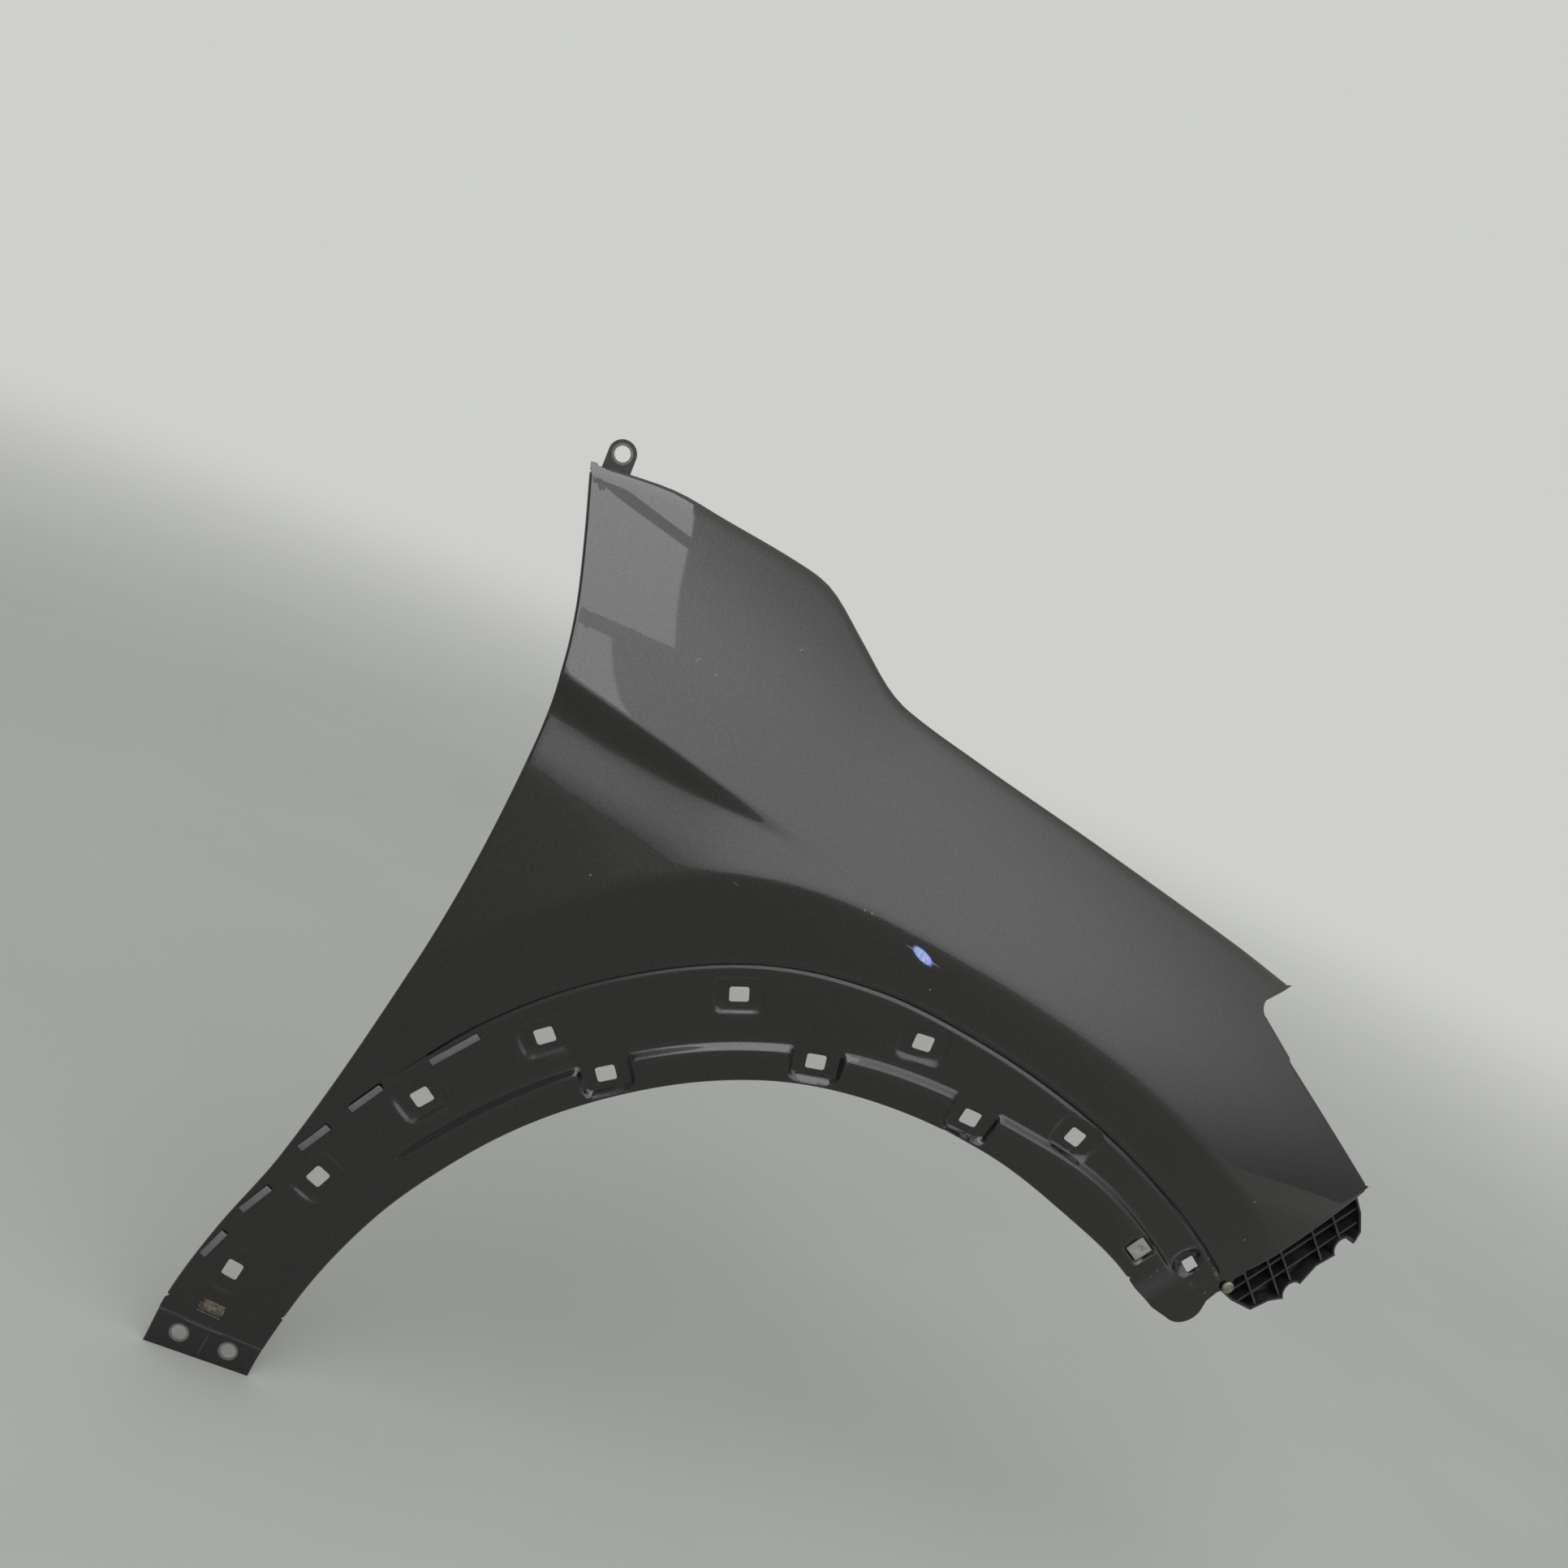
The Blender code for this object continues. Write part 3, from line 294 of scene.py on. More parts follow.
background = sky.add("ShaderNodeBackground", {}, {"Color": sky.mix(seen, light, BACKDROP)})
sky.add("ShaderNodeOutputWorld", {}, {"Surface": background.outputs[0]})
print("sky with", len(world.node_tree.nodes), "nodes")

# %% [markdown]
# Three panes of a window show in the clear coat under the top rear corner, and their edges
# tell how wavy the coat is. Each is a glowing panel high in front of the painted face, which
# the camera doesn't see. Its corners are lengths along the window, to the right and up it.

# %% Window panes
WINDOW_AIM = Vector((0.10, 0.0, 0.61))
WINDOW_DISTANCE = 2.2
WINDOW_RISE = radians(60)
WINDOW_OUT = Vector((0.0, -cos(WINDOW_RISE), sin(WINDOW_RISE)))
WINDOW_UP = Vector((0.0, sin(WINDOW_RISE), cos(WINDOW_RISE)))
WINDOW_LIGHT = 3.6
PANES = {
    "middle_pane": [(-0.90, -1.67), (0.41, -0.10), (-0.90, 0.93), (0.49, 0.93)],
    "lower_pane": [(-0.90, -1.85), (0.10, -1.85), (-0.90, -1.84), (0.24, -0.47)],
    "upper_pane": [(-0.90, 1.06), (0.50, 1.06), (-0.90, 2.10), (0.53, 2.10)],
}


def pane_glow(nodes):
    return {"Emission Color": (1.0, 1.0, 1.02, 1.0)}


glass = finish("window_glow", pane_glow, Base_Color=(0, 0, 0, 1), Emission_Strength=WINDOW_LIGHT)
for name, corners in PANES.items():
    bm = bmesh.new()
    bmesh.ops.create_grid(bm, x_segments=1, y_segments=1, size=1.0)
    order = sorted(bm.verts, key=lambda v: (v.co.y, v.co.x))
    for v, (right, up) in zip(order, corners):
        v.co = WINDOW_AIM + WINDOW_OUT * WINDOW_DISTANCE
        v.co += Vector((right, 0.0, 0.0)) + WINDOW_UP * up
    pane = bpy.data.objects.new(name, bpy.data.meshes.new(name))
    bm.to_mesh(pane.data)
    bm.free()
    bpy.context.scene.collection.objects.link(pane)
    pane.data.materials.append(glass)
    pane.visible_camera = False
print(len(PANES), "window panes placed")

# %% [markdown]
# The panel is one pressed sheet. Its form is known by formulas around the wheel centre: an
# angle, with 180 degrees straight back and 90 straight up, and a distance out from the
# centre. The CAD model has the same form in few flat faces. Gloss shows every flat, so the
# skin is made here again with about twelve times as many faces, from the same sizes. A swell
# is a list of angles and of what each adds to a radius, and an edge is a list of places.

# %% Sizes of the panel, in metres and degrees
WHEEL_CENTRE = Vector((0.4155, -0.0233, -0.0144))
SHEET = 0.0008
FOLD_RADIUS = 0.0022
CLEARANCE = 0.0003
ARCH_RADIUS = 0.370
ARCH_SWELL = [(45, 0.001), (56, 0.0), (68, -0.004), (80, 0.0), (101, 0.007), (113, 0.005),
              (130, 0.001), (155, -0.002), (170, 0.001), (180, 0.007)]
CREASE_WIDTH = 0.033
CREASE_SWELL = [(44, 0.034), (47, 0.020), (50, 0.006), (53, 0.001), (68, 0.002), (80, -0.001),
                (98, 0.004), (109, 0.003), (123, 0.0), (135, -0.005), (152, -0.007)]
BAND_WIDTH = 0.064
BAND_SWELL = [(50, 0.001), (64, -0.002), (77, 0.003), (88, 0.013), (98, 0.026), (109, 0.034),
              (122, 0.030), (133, 0.022), (143, 0.014), (170, 0.012)]
FLARE_WIDTH = 0.106
FLARE_SWELL = [(50, 0.0), (68, 0.002), (81, 0.009), (91, 0.021), (97, 0.032), (102, 0.043),
               (108, 0.054), (113, 0.058), (121, 0.052), (135, 0.036), (150, 0.012)]
DOOR_EDGE = [(0.0, 0.457), (0.047, 0.4515), (0.106, 0.436), (0.178, 0.4115), (0.292, 0.384),
             (0.414, 0.3615), (0.524, 0.351), (0.580, 0.352), (0.620, 0.3585),
             (0.664, 0.372), (0.713, 0.390)]
HOOD_EDGE = [(-0.390, 0.713), (-0.360, 0.7165), (-0.326, 0.718), (-0.291, 0.7135),
             (-0.222, 0.704), (-0.196, 0.696), (-0.164, 0.672), (-0.134, 0.6485),
             (-0.113, 0.6385), (-0.054, 0.624), (0.059, 0.599), (0.196, 0.566),
             (0.258, 0.5485)]
LAMP_TOP = (0.240, 0.520)
LAMP_BOTTOM = (0.382, 0.425)
NOTCH_TOP = [(0.2585, 0.5481), (0.2530, 0.5448), (0.2426, 0.5388)]
NOTCH_CENTRE = (0.2416, 0.5300)
NOTCH_RADIUS = 0.0079
NOTCH_BEYOND = [(0.2680, 0.5013), (0.2900, 0.5040), (0.2900, 0.5481)]
END_ANGLE = 48.0
FAN = (126.0, 112.5, 98.0)
LOBE_SIDE = (0.2440, 0.2840)
LOBE_CENTRE = (0.2665, 0.2955)
LOBE_RADIUS = 0.0175
LOBE_THROAT = [(0.2845, 0.3025), (0.2895, 0.3115)]
LOBE_REACH = 4.6
LOBE_START = 48.85
LOBE_SWING = (0.443, 0.009)
print("wheel opening radius", ARCH_RADIUS, "m")

# %% [markdown]
# Seen from the side, the outline and the lines of the pressing can be measured in the
# photograph. The depths can't, so they are what such a panel has, set so that the highlights
# and shadows of the paint fall where they do there. A span is where a change starts, and
# over what length or angle it runs.

# %% Depths of the form, in metres
SIDE = 0.006
NOSE_START = -0.150
NOSE_RATE = 0.30
SHOULDER = (-0.350, 0.581)
SHOULDER_SLOPE = -0.22
LEAN = 0.32
LEAN_RATE = 2.5
LEAN_ROUND = (0.0025, 0.0775)
LEAN_ROUND_SPAN = (-0.265, 0.165)
BODY_ROUND = 0.040
UNDERCUT = 0.0060
UNDERCUT_FADE_SPAN = (-0.33, 0.22)
UNDERCUT_NARROWING = 0.6
UNDERCUT_NARROW_SPAN = (-0.35, 0.20)
UNDERCUT_WALL = 0.030
UNDERCUT_RISE_SPAN = (0.022, 0.048)
HOOD_ROLL = 0.0016
HOOD_ROLL_WIDTH = 0.005
TUCK_HEIGHT = 0.405
TUCK = 0.035
FLARE_HEIGHT = [(45, 0.008), (70, 0.012), (90, 0.016), (110, 0.019), (125, 0.015),
                (140, 0.008), (158, 0.0)]
FLARE_FADE = 0.110
FLARE_FALL = (0.22, 0.14)
FLARE_FALL_HEIGHT = 0.019
BAND_STEP = 0.0030
BAND_FRONT_SPAN = (47.5, 2.5)
BAND_REAR_SPAN = (132, 20)
GROOVE_DEPTH = 0.0010
GROOVE_WIDTH = 0.0017
GROOVE_LIP = 0.0004
GROOVE_LIP_WIDTH = 0.0014
CREST_ROUND = 0.0045
CREASE_STEP = 0.005
CREASE_WALL = 0.006
CREASE_FRONT_SPAN = (50, 4.5)
CREASE_REAR_SPAN = (143, 12)
PAD_DEPTH = 0.0019
PAD_SHALLOW = 0.5
PAD_SHALLOW_SPAN = (150, 15)
PAD_WALL = 0.0036
PAD_CORNER = 0.0050
PAD_HALF = (0.0165, 0.0115)
CLIP_HOLE = (0.0140, 0.0120)
CLIP_CORNER = 0.002
OUTER_CLIPS = [(169.1, 0.4218), (155.6, 0.4185), (142.2, 0.4220), (128.9, 0.4295),
               (110.5, 0.4420), (92.5, 0.4287), (73.3, 0.4156), (51.6, 0.4158)]
INNER_CLIPS = [(124.2, 0.3903), (102.3, 0.3953), (84.4, 0.3884)]
PLUG_PLACE = (57.7, 0.3897)
PLUG_HOLE = 0.0110
PLUG_POCKET = (0.0092, 0.0020)
PLUG_POCKET_DEPTH = 0.0030
PLUG_POCKET_CORNER = 0.002
FOOT_ANGLE = 175.9
FOOT_JOGGLE = 0.55
FOOT_PLANE = 0.0225
FOOT_HOLE = 0.0115
FOOT_HOLES = [(-0.4344, 0.0150), (-0.3966, 0.0138)]
SLOT_PLACE = (174.0, 0.4207)
SLOT_HOLE = (0.0190, 0.0120)
SLOT_PAD = 0.0088
SLOT_PAD_SHARE = 0.40
BOWL = (0.2535, 0.3285)
BOWL_FLOOR = 0.0075
BOWL_WALL = 0.0055
BOWL_DEPTH = 0.0060
print(len(OUTER_CLIPS) + len(INNER_CLIPS), "clip holes and", len(FOOT_HOLES), "bolt holes")

# %% [markdown]
# Real pressings have no sharp corners, so every step of the form is eased. Helpers do that:
# smooth is an eased step, eased is that step over a span, soft is a ramp with a rounded
# start, and along draws a smooth curve through a few measured stations.

# %% Eased steps and curves


def smooth(t):
    """Eased step from 0 to 1."""
    t = min(1.0, max(0.0, t))
    return t * t * (3 - 2 * t)


def eased(at, span):
    """Eased step that starts at a place and runs over a length or an angle."""
    start, length = span
    return smooth((at - start) / length)


def soft(d, width):
    """max(0, d) with its corner rounded over width."""
    return 0.5 * (d + sqrt(d * d + width * width))


def along(stations, at):
    """Smooth curve through (place, value) stations, level beyond its ends."""
    if at <= stations[0][0]:
        return stations[0][1]
    if at >= stations[-1][0]:
        return stations[-1][1]
    last = len(stations) - 1
    i = max(k for k in range(last) if stations[k][0] <= at)
    (x0, y0), (x1, y1) = stations[max(i - 1, 0)], stations[i]
    (x2, y2), (x3, y3) = stations[i + 1], stations[min(i + 2, last)]
    span = x2 - x1
    slope1 = (y2 - y0) / (x2 - x0) * span
    slope2 = (y3 - y1) / (x3 - x1) * span
    t = (at - x1) / span
    return ((2 * t**3 - 3 * t**2 + 1) * y1 + (t**3 - 2 * t**2 + t) * slope1
            + (3 * t**2 - 2 * t**3) * y2 + (t**3 - t**2) * slope2)


def opening(angle):
    return ARCH_RADIUS + along(ARCH_SWELL, angle)


def crease(angle):
    return ARCH_RADIUS + CREASE_WIDTH + along(CREASE_SWELL, angle)


def band(angle):
    return ARCH_RADIUS + BAND_WIDTH + along(BAND_SWELL, angle)


def flare(angle):
    return ARCH_RADIUS + FLARE_WIDTH + along(FLARE_SWELL, angle)


def shoulder_height(x):
    return SHOULDER[1] + SHOULDER_SLOPE * (x - SHOULDER[0])


def polar(angle, r):
    return r * cos(radians(angle)), r * sin(radians(angle))


print("flare ends", round(flare(90) - opening(90), 4), "m above the top of the opening")

# %% [markdown]
# The outer face is a sum of simple forms: the side of the body that leans in above the
# shoulder line, the flare with its recessed band and raised lip, the clip pads, and a bowl
# about the last clip hole. Each says how far inboard the face lies at a place seen from the
# side. A pad is a rounded box whose edge is a slope, so one distance makes it.

# %% The painted face


def body_face(x, z):
    """The side of the body, without the arch: leaning in above the shoulder line."""
    above = z - shoulder_height(x)
    lean = soft(above, LEAN_ROUND[0] + LEAN_ROUND[1] * eased(x, LEAN_ROUND_SPAN))
    y = SIDE + NOSE_RATE * soft(x - NOSE_START, BODY_ROUND) ** 2
    y += LEAN * lean + LEAN_RATE * lean * lean
    fade = 1 - eased(x, UNDERCUT_FADE_SPAN)
    narrow = 1 - UNDERCUT_NARROWING * eased(x, UNDERCUT_NARROW_SPAN)
    rise_start, rise_length = UNDERCUT_RISE_SPAN
    hollow = smooth(-above / (UNDERCUT_WALL * narrow))
    hollow *= 1 - smooth((-above - rise_start * narrow) / rise_length)
    below = max(0.0, along(HOOD_EDGE, x) - z)
    y += HOOD_ROLL * exp(-(below / HOOD_ROLL_WIDTH) ** 2)
    return y + UNDERCUT * fade * hollow + TUCK * soft(TUCK_HEIGHT - z, BODY_ROUND)


def outer_line(angle):
    return along(sorted(OUTER_CLIPS + [SLOT_PLACE]), angle)


def inner_line(angle):
    return along(sorted(INNER_CLIPS + [PLUG_PLACE]), angle)


def pad(angle, r, place, half, wall=PAD_WALL, corner=PAD_CORNER, open_side=False):
    """1 on a pad with rounded corners, easing to 0 over the width of its wall."""
    across = abs(radians(angle - place[0])) * place[1] - half[0] + corner
    out = r - place[1]
    out = (-out if open_side else abs(out)) - half[1] + corner
    beyond = hypot(max(across, 0.0), max(out, 0.0)) + min(max(across, out), 0.0) - corner
    return 1 - smooth(beyond / wall)


def inner_pads(angle, r):
    """1 in the pads that cut the raised lip away, down to the level of the band."""
    return max(pad(angle, r, place, PAD_HALF, open_side=True) for place in INNER_CLIPS)


def outer_pads(angle, r):
    """Depth of the pads about the outer clip holes, shallower towards the foot."""
    deepest = max(pad(angle, r, place, PAD_HALF) for place in OUTER_CLIPS[:-1])
    slot = SLOT_PAD_SHARE * pad(angle, r, SLOT_PLACE, (SLOT_PAD, PAD_HALF[1]))
    return PAD_DEPTH * max(deepest, slot) * (1 - PAD_SHALLOW * eased(angle, PAD_SHALLOW_SPAN))


def bowl(x, z):
    """The deeper round recess about the last clip hole, at the front tip of the arch."""
    away = hypot(x - BOWL[0], z - BOWL[1]) - BOWL_FLOOR
    return BOWL_DEPTH * (1 - smooth(away / BOWL_WALL))


def plug_pocket(angle, r):
    half, wall = (PLUG_POCKET[0], PAD_HALF[1] - PAD_WALL), PLUG_POCKET[1]
    return PLUG_POCKET_DEPTH * pad(angle, r, PLUG_PLACE, half, wall, PLUG_POCKET_CORNER)


def arch_form(angle, r):
    """What the flare, the recessed band and the raised lip add around the opening."""
    height = along(FLARE_HEIGHT, angle)
    out = r - flare(angle)
    inside = soft(-out, CREST_ROUND)
    slope_end = flare(angle) - band(angle)
    fall = FLARE_FALL[0] * min(inside, slope_end) + FLARE_FALL[1] * max(0.0, inside - slope_end)
    y = -height * exp(-soft(out, CREST_ROUND) / FLARE_FADE) + fall * height / FLARE_FALL_HEIGHT
    ends = eased(angle, BAND_FRONT_SPAN) * (1 - eased(angle, BAND_REAR_SPAN))
    within = band(angle) - r  # how far inside the outer edge of the band
    step = BAND_STEP * smooth(within / BAND_STEP)
    step += GROOVE_DEPTH * exp(-((within - BAND_STEP) / GROOVE_WIDTH) ** 2)
    step -= GROOVE_LIP * exp(-((within + GROOVE_LIP_WIDTH) / GROOVE_LIP_WIDTH) ** 2)
    y += step * ends
    lip = CREASE_STEP * (1 - eased(angle, CREASE_REAR_SPAN)) * eased(angle, CREASE_FRONT_SPAN)
    lip *= smooth((crease(angle) - r) / CREASE_WALL)
    return y - lip * (1 - inner_pads(angle, r))


def face(x, z):
    """Distance inboard of the painted face at a place seen from the side."""
    angle, r = degrees(atan2(z, x)), hypot(x, z)
    if angle < -90:
        angle += 360
    y = body_face(x, z) + arch_form(angle, r) + bowl(x, z)
    y += outer_pads(angle, r) + plug_pocket(angle, r)
    return y + (FOOT_PLANE - y) * smooth((angle - FOOT_ANGLE) / FOOT_JOGGLE)


def on_face(x, z, depth=0.0):
    return Vector((x, face(x, z) + depth, z))


def inward(x, z):
    """Unit normal of the face, pointing into the car."""
    step = 0.0008
    slope_x = (face(x + step, z) - face(x - step, z)) / (2 * step)
    slope_z = (face(x, z + step) - face(x, z - step)) / (2 * step)
    return Vector((-slope_x, 1.0, -slope_z)).normalized()


def fold_direction(x, z):
    """Which way a flange runs into the car: the normal of the body without lip or pads."""
    step = 0.004
    slope_x = (body_face(x + step, z) - body_face(x - step, z)) / (2 * step)
    slope_z = (body_face(x, z + step) - body_face(x, z - step)) / (2 * step)
    return Vector((-slope_x, 1.0, -slope_z)).normalized()


print("depth of the face above the shoulder:", round(face(-0.33, 0.66), 4), "m")

# %% [markdown]
# The skin is laid out in sections that run out from the wheel opening, as a loft would be.
# Around the top rear corner the sections fan out, because the rear edge runs almost straight
# away from the wheel centre. Each section ends in the fold that the real edge has there.

# %% Outline
MEET_RANGE = (0.40, 0.95)
MEET_HALVINGS = 40
FAN_EASE = (0.45, 1.25)
NOTCH_SPAN = 3.0
FOLD_GAPS = {"corner": 0.2, "tip": 0.4, "foot": 1.2}


def meet(angle, inside):
    """Where the ray at an angle leaves the region in which inside(x, z) holds."""
    low, high = MEET_RANGE
    for _ in range(MEET_HALVINGS):
        middle = (low + high) / 2
        if inside(*polar(angle, middle)):
            low = middle
        else:
            high = middle
    return polar(angle, low)


def corner_angles():
    """Section angles of the hood tip and of the headlamp edge below the notch under it."""
    tip = degrees(atan2(HOOD_EDGE[-1][1], HOOD_EDGE[-1][0]))
    return tip, tip - NOTCH_SPAN


def outline_place(angle):
    """Point of the outer outline that a section runs to."""
    rear, corner, front = FAN
    top = HOOD_EDGE[0][1]
    if angle >= rear:
        return meet(angle, lambda x, z: x > -along(DOOR_EDGE, z))
    if angle >= corner:
        low = meet(rear, lambda x, z: x > -along(DOOR_EDGE, z))[1]
        t = (rear - angle) / (rear - corner)
        z = low + (top - low) * t * (FAN_EASE[0] + (1 - FAN_EASE[0]) * t)
        return -along(DOOR_EDGE, z), z
    if angle > front:
        start = HOOD_EDGE[0][0]
        end = meet(front, lambda x, z: z < along(HOOD_EDGE, x))[0]
        t = (corner - angle) / (corner - front)
        x = start + (end - start) * t * (FAN_EASE[1] + (1 - FAN_EASE[1]) * t)
        return x, along(HOOD_EDGE, x)
    tip, lamp_edge = corner_angles()
    if angle >= tip - 0.01:
        return meet(angle, lambda x, z: z < along(HOOD_EDGE, x))
    if angle > lamp_edge + 0.01:
        low, high = Vector(outline_place(lamp_edge)), Vector(HOOD_EDGE[-1])
        return tuple(low + (high - low) * (angle - lamp_edge) / (tip - lamp_edge))
    slope = (LAMP_BOTTOM[1] - LAMP_TOP[1]) / (LAMP_BOTTOM[0] - LAMP_TOP[0])
    return meet(angle, lambda x, z: z < LAMP_TOP[1] + slope * (x - LAMP_TOP[0]))


def flange_at(angle):
    """Which folded edge a section ends in."""
    corner = FAN[1]
    tip, lamp_edge = corner_angles()
    if corner + FOLD_GAPS["corner"] < angle < FOOT_ANGLE - FOLD_GAPS["foot"]:
        return "door"
    if tip + FOLD_GAPS["tip"] < angle < corner - FOLD_GAPS["corner"]:
        return "hood"
    if END_ANGLE + FOLD_GAPS["tip"] < angle < lamp_edge - FOLD_GAPS["tip"]:
        return "lamp"
    return None


print("hood tip at", round(corner_angles()[0], 1), "degrees")

# %% [markdown]
# A smooth form needs few sections and a wall needs many, so sections stand on both sides of
# every pad wall and at each corner of the outline, and the gaps between them are divided.
# The rows of a section lie on the lines of the pressing, and beyond the flare they close up
# towards the shoulder line and the outline, where the form turns fastest.

# %% Sections and rows
SECTION_STEP = 0.46
WALL_PARTS = 3
WALL_ANGLE = 0.6
LEAST_ANGLE = 0.12
CORNER_SPAN = 0.25
ARCH_FLANGE_ENDS = (55.0, 171.5)
CREASE_ROWS = (0.006, 0.003, 0.0)
BAND_ROW = 0.0035
CREST_ROWS = (-0.022, -0.006, 0.006, 0.012)
EDGE_PROBE = 0.15
LEAST_SPAN = 0.002
ON_EDGE = 0.0003
SHOULDER_BEYOND = 1.6
SHOULDER_LEAST = 0.030
SHOULDER_SHARES = (0.25, 0.50, 0.67, 0.80, 0.91)
SHOULDER_ROWS = (-0.0015, 0.002)
UPPER_SHARES = (0.15, 0.42, 0.72)
EDGE_ROWS = (0.012, 0.007, 0.004, 0.002, 0.0)
OUTER_ROWS = len(SHOULDER_SHARES + SHOULDER_ROWS + UPPER_SHARES + EDGE_ROWS)
ROW_PARTS = [2, 3, 2, 3, 3, 2, 3, 4, 3, 2, 4, 4, 4, 4, 3, 4, 3,
             4, 4, 3, 3, 3, 3, 3, 2, 4, 4, 3, 2, 2, 1, 1]


def section_angles():
    """Angles of the sections: both sides of every pad wall, the corners, and many between."""
    corner = FAN[1]
    tip, lamp_edge = corner_angles()
    sharp = [END_ANGLE, LOBE_START, lamp_edge, tip]
    sharp += [corner - CORNER_SPAN, corner, corner + CORNER_SPAN]
    sharp += [FOOT_ANGLE, FOOT_ANGLE + FOOT_JOGGLE, 180.0]
    fixed = list(sharp)
    pads = [(*place, PAD_HALF[0], PAD_WALL) for place in OUTER_CLIPS + INNER_CLIPS]
    pads += [(*SLOT_PLACE, SLOT_PAD, PAD_WALL), (*PLUG_PLACE, *PLUG_POCKET)]
    for pad_angle, pad_r, half, wall in pads:
        for reach in (half, half + wall):
            fixed += [pad_angle + side * degrees(reach / pad_r) for side in (-1, 1)]
    kept = []
    for angle in sorted(a for a in fixed if END_ANGLE <= a <= 180):
        gap = angle - kept[-1] if kept else LEAST_ANGLE
        if angle in sharp and gap < LEAST_ANGLE and kept[-1] not in sharp:
            kept[-1] = angle
        elif not kept or angle in sharp or gap > LEAST_ANGLE:
            kept.append(angle)
    angles = kept[:1]
    for angle in kept[1:]:
        start = angles[-1]
        gap = angle - start
        parts = WALL_PARTS if gap < WALL_ANGLE else ceil(gap / SECTION_STEP)
        angles += [start + gap * k / parts for k in range(1, parts + 1)]
    return angles


def row_places(angle):
    """Main places of one section in the side view, from the opening outwards."""
    flanged = ARCH_FLANGE_ENDS[0] < angle < ARCH_FLANGE_ENDS[1]
    low, high, crest = inner_line(angle), outer_line(angle), flare(angle)
    radii = [opening(angle) + (FOLD_RADIUS if flanged else 0.0)]
    radii += [low - PAD_HALF[1], low - PAD_HALF[1] + PAD_WALL]
    radii += [crease(angle) - k for k in CREASE_ROWS]
    radii += [high - PAD_HALF[1] - PAD_WALL, high - PAD_HALF[1]]
    radii += [high + PAD_HALF[1], high + PAD_HALF[1] + PAD_WALL]
    radii += [band(angle) - BAND_STEP - BAND_ROW, band(angle) - BAND_STEP]
    radii += [band(angle), band(angle) + BAND_ROW]
    radii += [crest + k for k in CREST_ROWS]
    radii = [max(radii[:k + 1]) for k in range(len(radii))]
    end = Vector(outline_place(angle))
    out = end.normalized()
    if flange_at(angle):
        before, after = (Vector(outline_place(angle + d)) for d in (-EDGE_PROBE, EDGE_PROBE))
        edge = (after - before).normalized()
        out = Vector((-edge.y, edge.x))
        if out.dot(end) < 0:
            out = -out
        end -= out * FOLD_RADIUS
    places = [Vector(polar(angle, r)) for r in radii]
    start = places[-1]
    if (end - start).dot(out) < LEAST_SPAN:
        places = [p if (end - p).dot(out) > ON_EDGE else end.copy() for p in places]
        return places + [end.copy() for _ in range(OUTER_ROWS)]
    span = end - start
    rise = end.y - shoulder_height(end.x) - start.y + shoulder_height(start.x)
    waist = (shoulder_height(start.x) - start.y) / rise if rise > 0.001 else SHOULDER_BEYOND
    far = max(min(waist, SHOULDER_BEYOND), SHOULDER_LEAST / span.length)
    shares = [far * k for k in SHOULDER_SHARES]
    shares += [far + away / span.length for away in SHOULDER_ROWS]
    rest = max(0.0, 1 - shares[-1])
    shares += [shares[-1] + rest * k for k in UPPER_SHARES]
    shares += [1 - away / span.length for away in EDGE_ROWS]
    shares = [min(1.0, max(shares[:k + 1])) for k in range(len(shares))]
    return places + [start + span * t for t in shares]


def section_places(angle):
    """All places of one section: the main ones, with the spaces between divided evenly."""
    main = row_places(angle)
    places = [main[0]]
    for before, after, parts in zip(main, main[1:], ROW_PARTS):
        places += [before + (after - before) * k / parts for k in range(1, parts + 1)]
    return places


def skin_point(place):
    """Point of the face. The last sections swing forward to make the lobe of the arch tip."""
    angle, r = degrees(atan2(place.y, place.x)), place.length
    swing = LOBE_REACH * max(0.0, (LOBE_START - angle) / (LOBE_START - END_ANGLE))
    swing *= 1 - eased(r, LOBE_SWING)
    return on_face(*polar(angle - swing, r))


angles = section_angles()
print(len(angles), "sections of", sum(ROW_PARTS) + 1, "points")

# %% [markdown]
# A pressing gets its stiffness from its folded edges. Each fold is an extrusion of the
# skin's boundary, made in small turns around the fold radius, and then a straight wall. The
# hood edge also turns level at the bottom of its wall, into the ledge that is bolted down.
# Each size is the angle that the sheet is folded by, and the length of the wall after it.

# %% Folded edges
ARCH_FLANGE = (92, 0.014)
DOOR_FLANGE = (115, 0.011)
LAMP_FLANGE = (90, 0.008)
BUMPER_FLANGE = (90, 0.010)
HOOD_FLANGE = (104, 0.014)
HOOD_LEDGE = 0.017
LEDGE_CORNER = 0.1
FOLD_PARTS = 5


def fold(bm, frames, steps):
    """Fold a flange from a run of edge vertices, each with its outward and inward direction."""
    edges = [e for e in bm.edges if e.is_boundary and all(v in frames for v in e.verts)]
    base = {v: (v.co.copy(), frames[v]) for v in frames}
    for step in steps:
        made = bmesh.ops.extrude_edge_only(bm, edges=edges)["geom"]
        fresh = {g for g in made if isinstance(g, bmesh.types.BMVert)}
        edges = [g for g in made if isinstance(g, bmesh.types.BMEdge)
                 and g.verts[0] in fresh and g.verts[1] in fresh]
        moved = {}
        for v in fresh:
            old = next(e.other_vert(v) for e in v.link_edges if e.other_vert(v) in base)
            origin, (out, into) = base[old]
            v.co = origin + step(out, into)
            moved[v] = base[old]
        base = moved


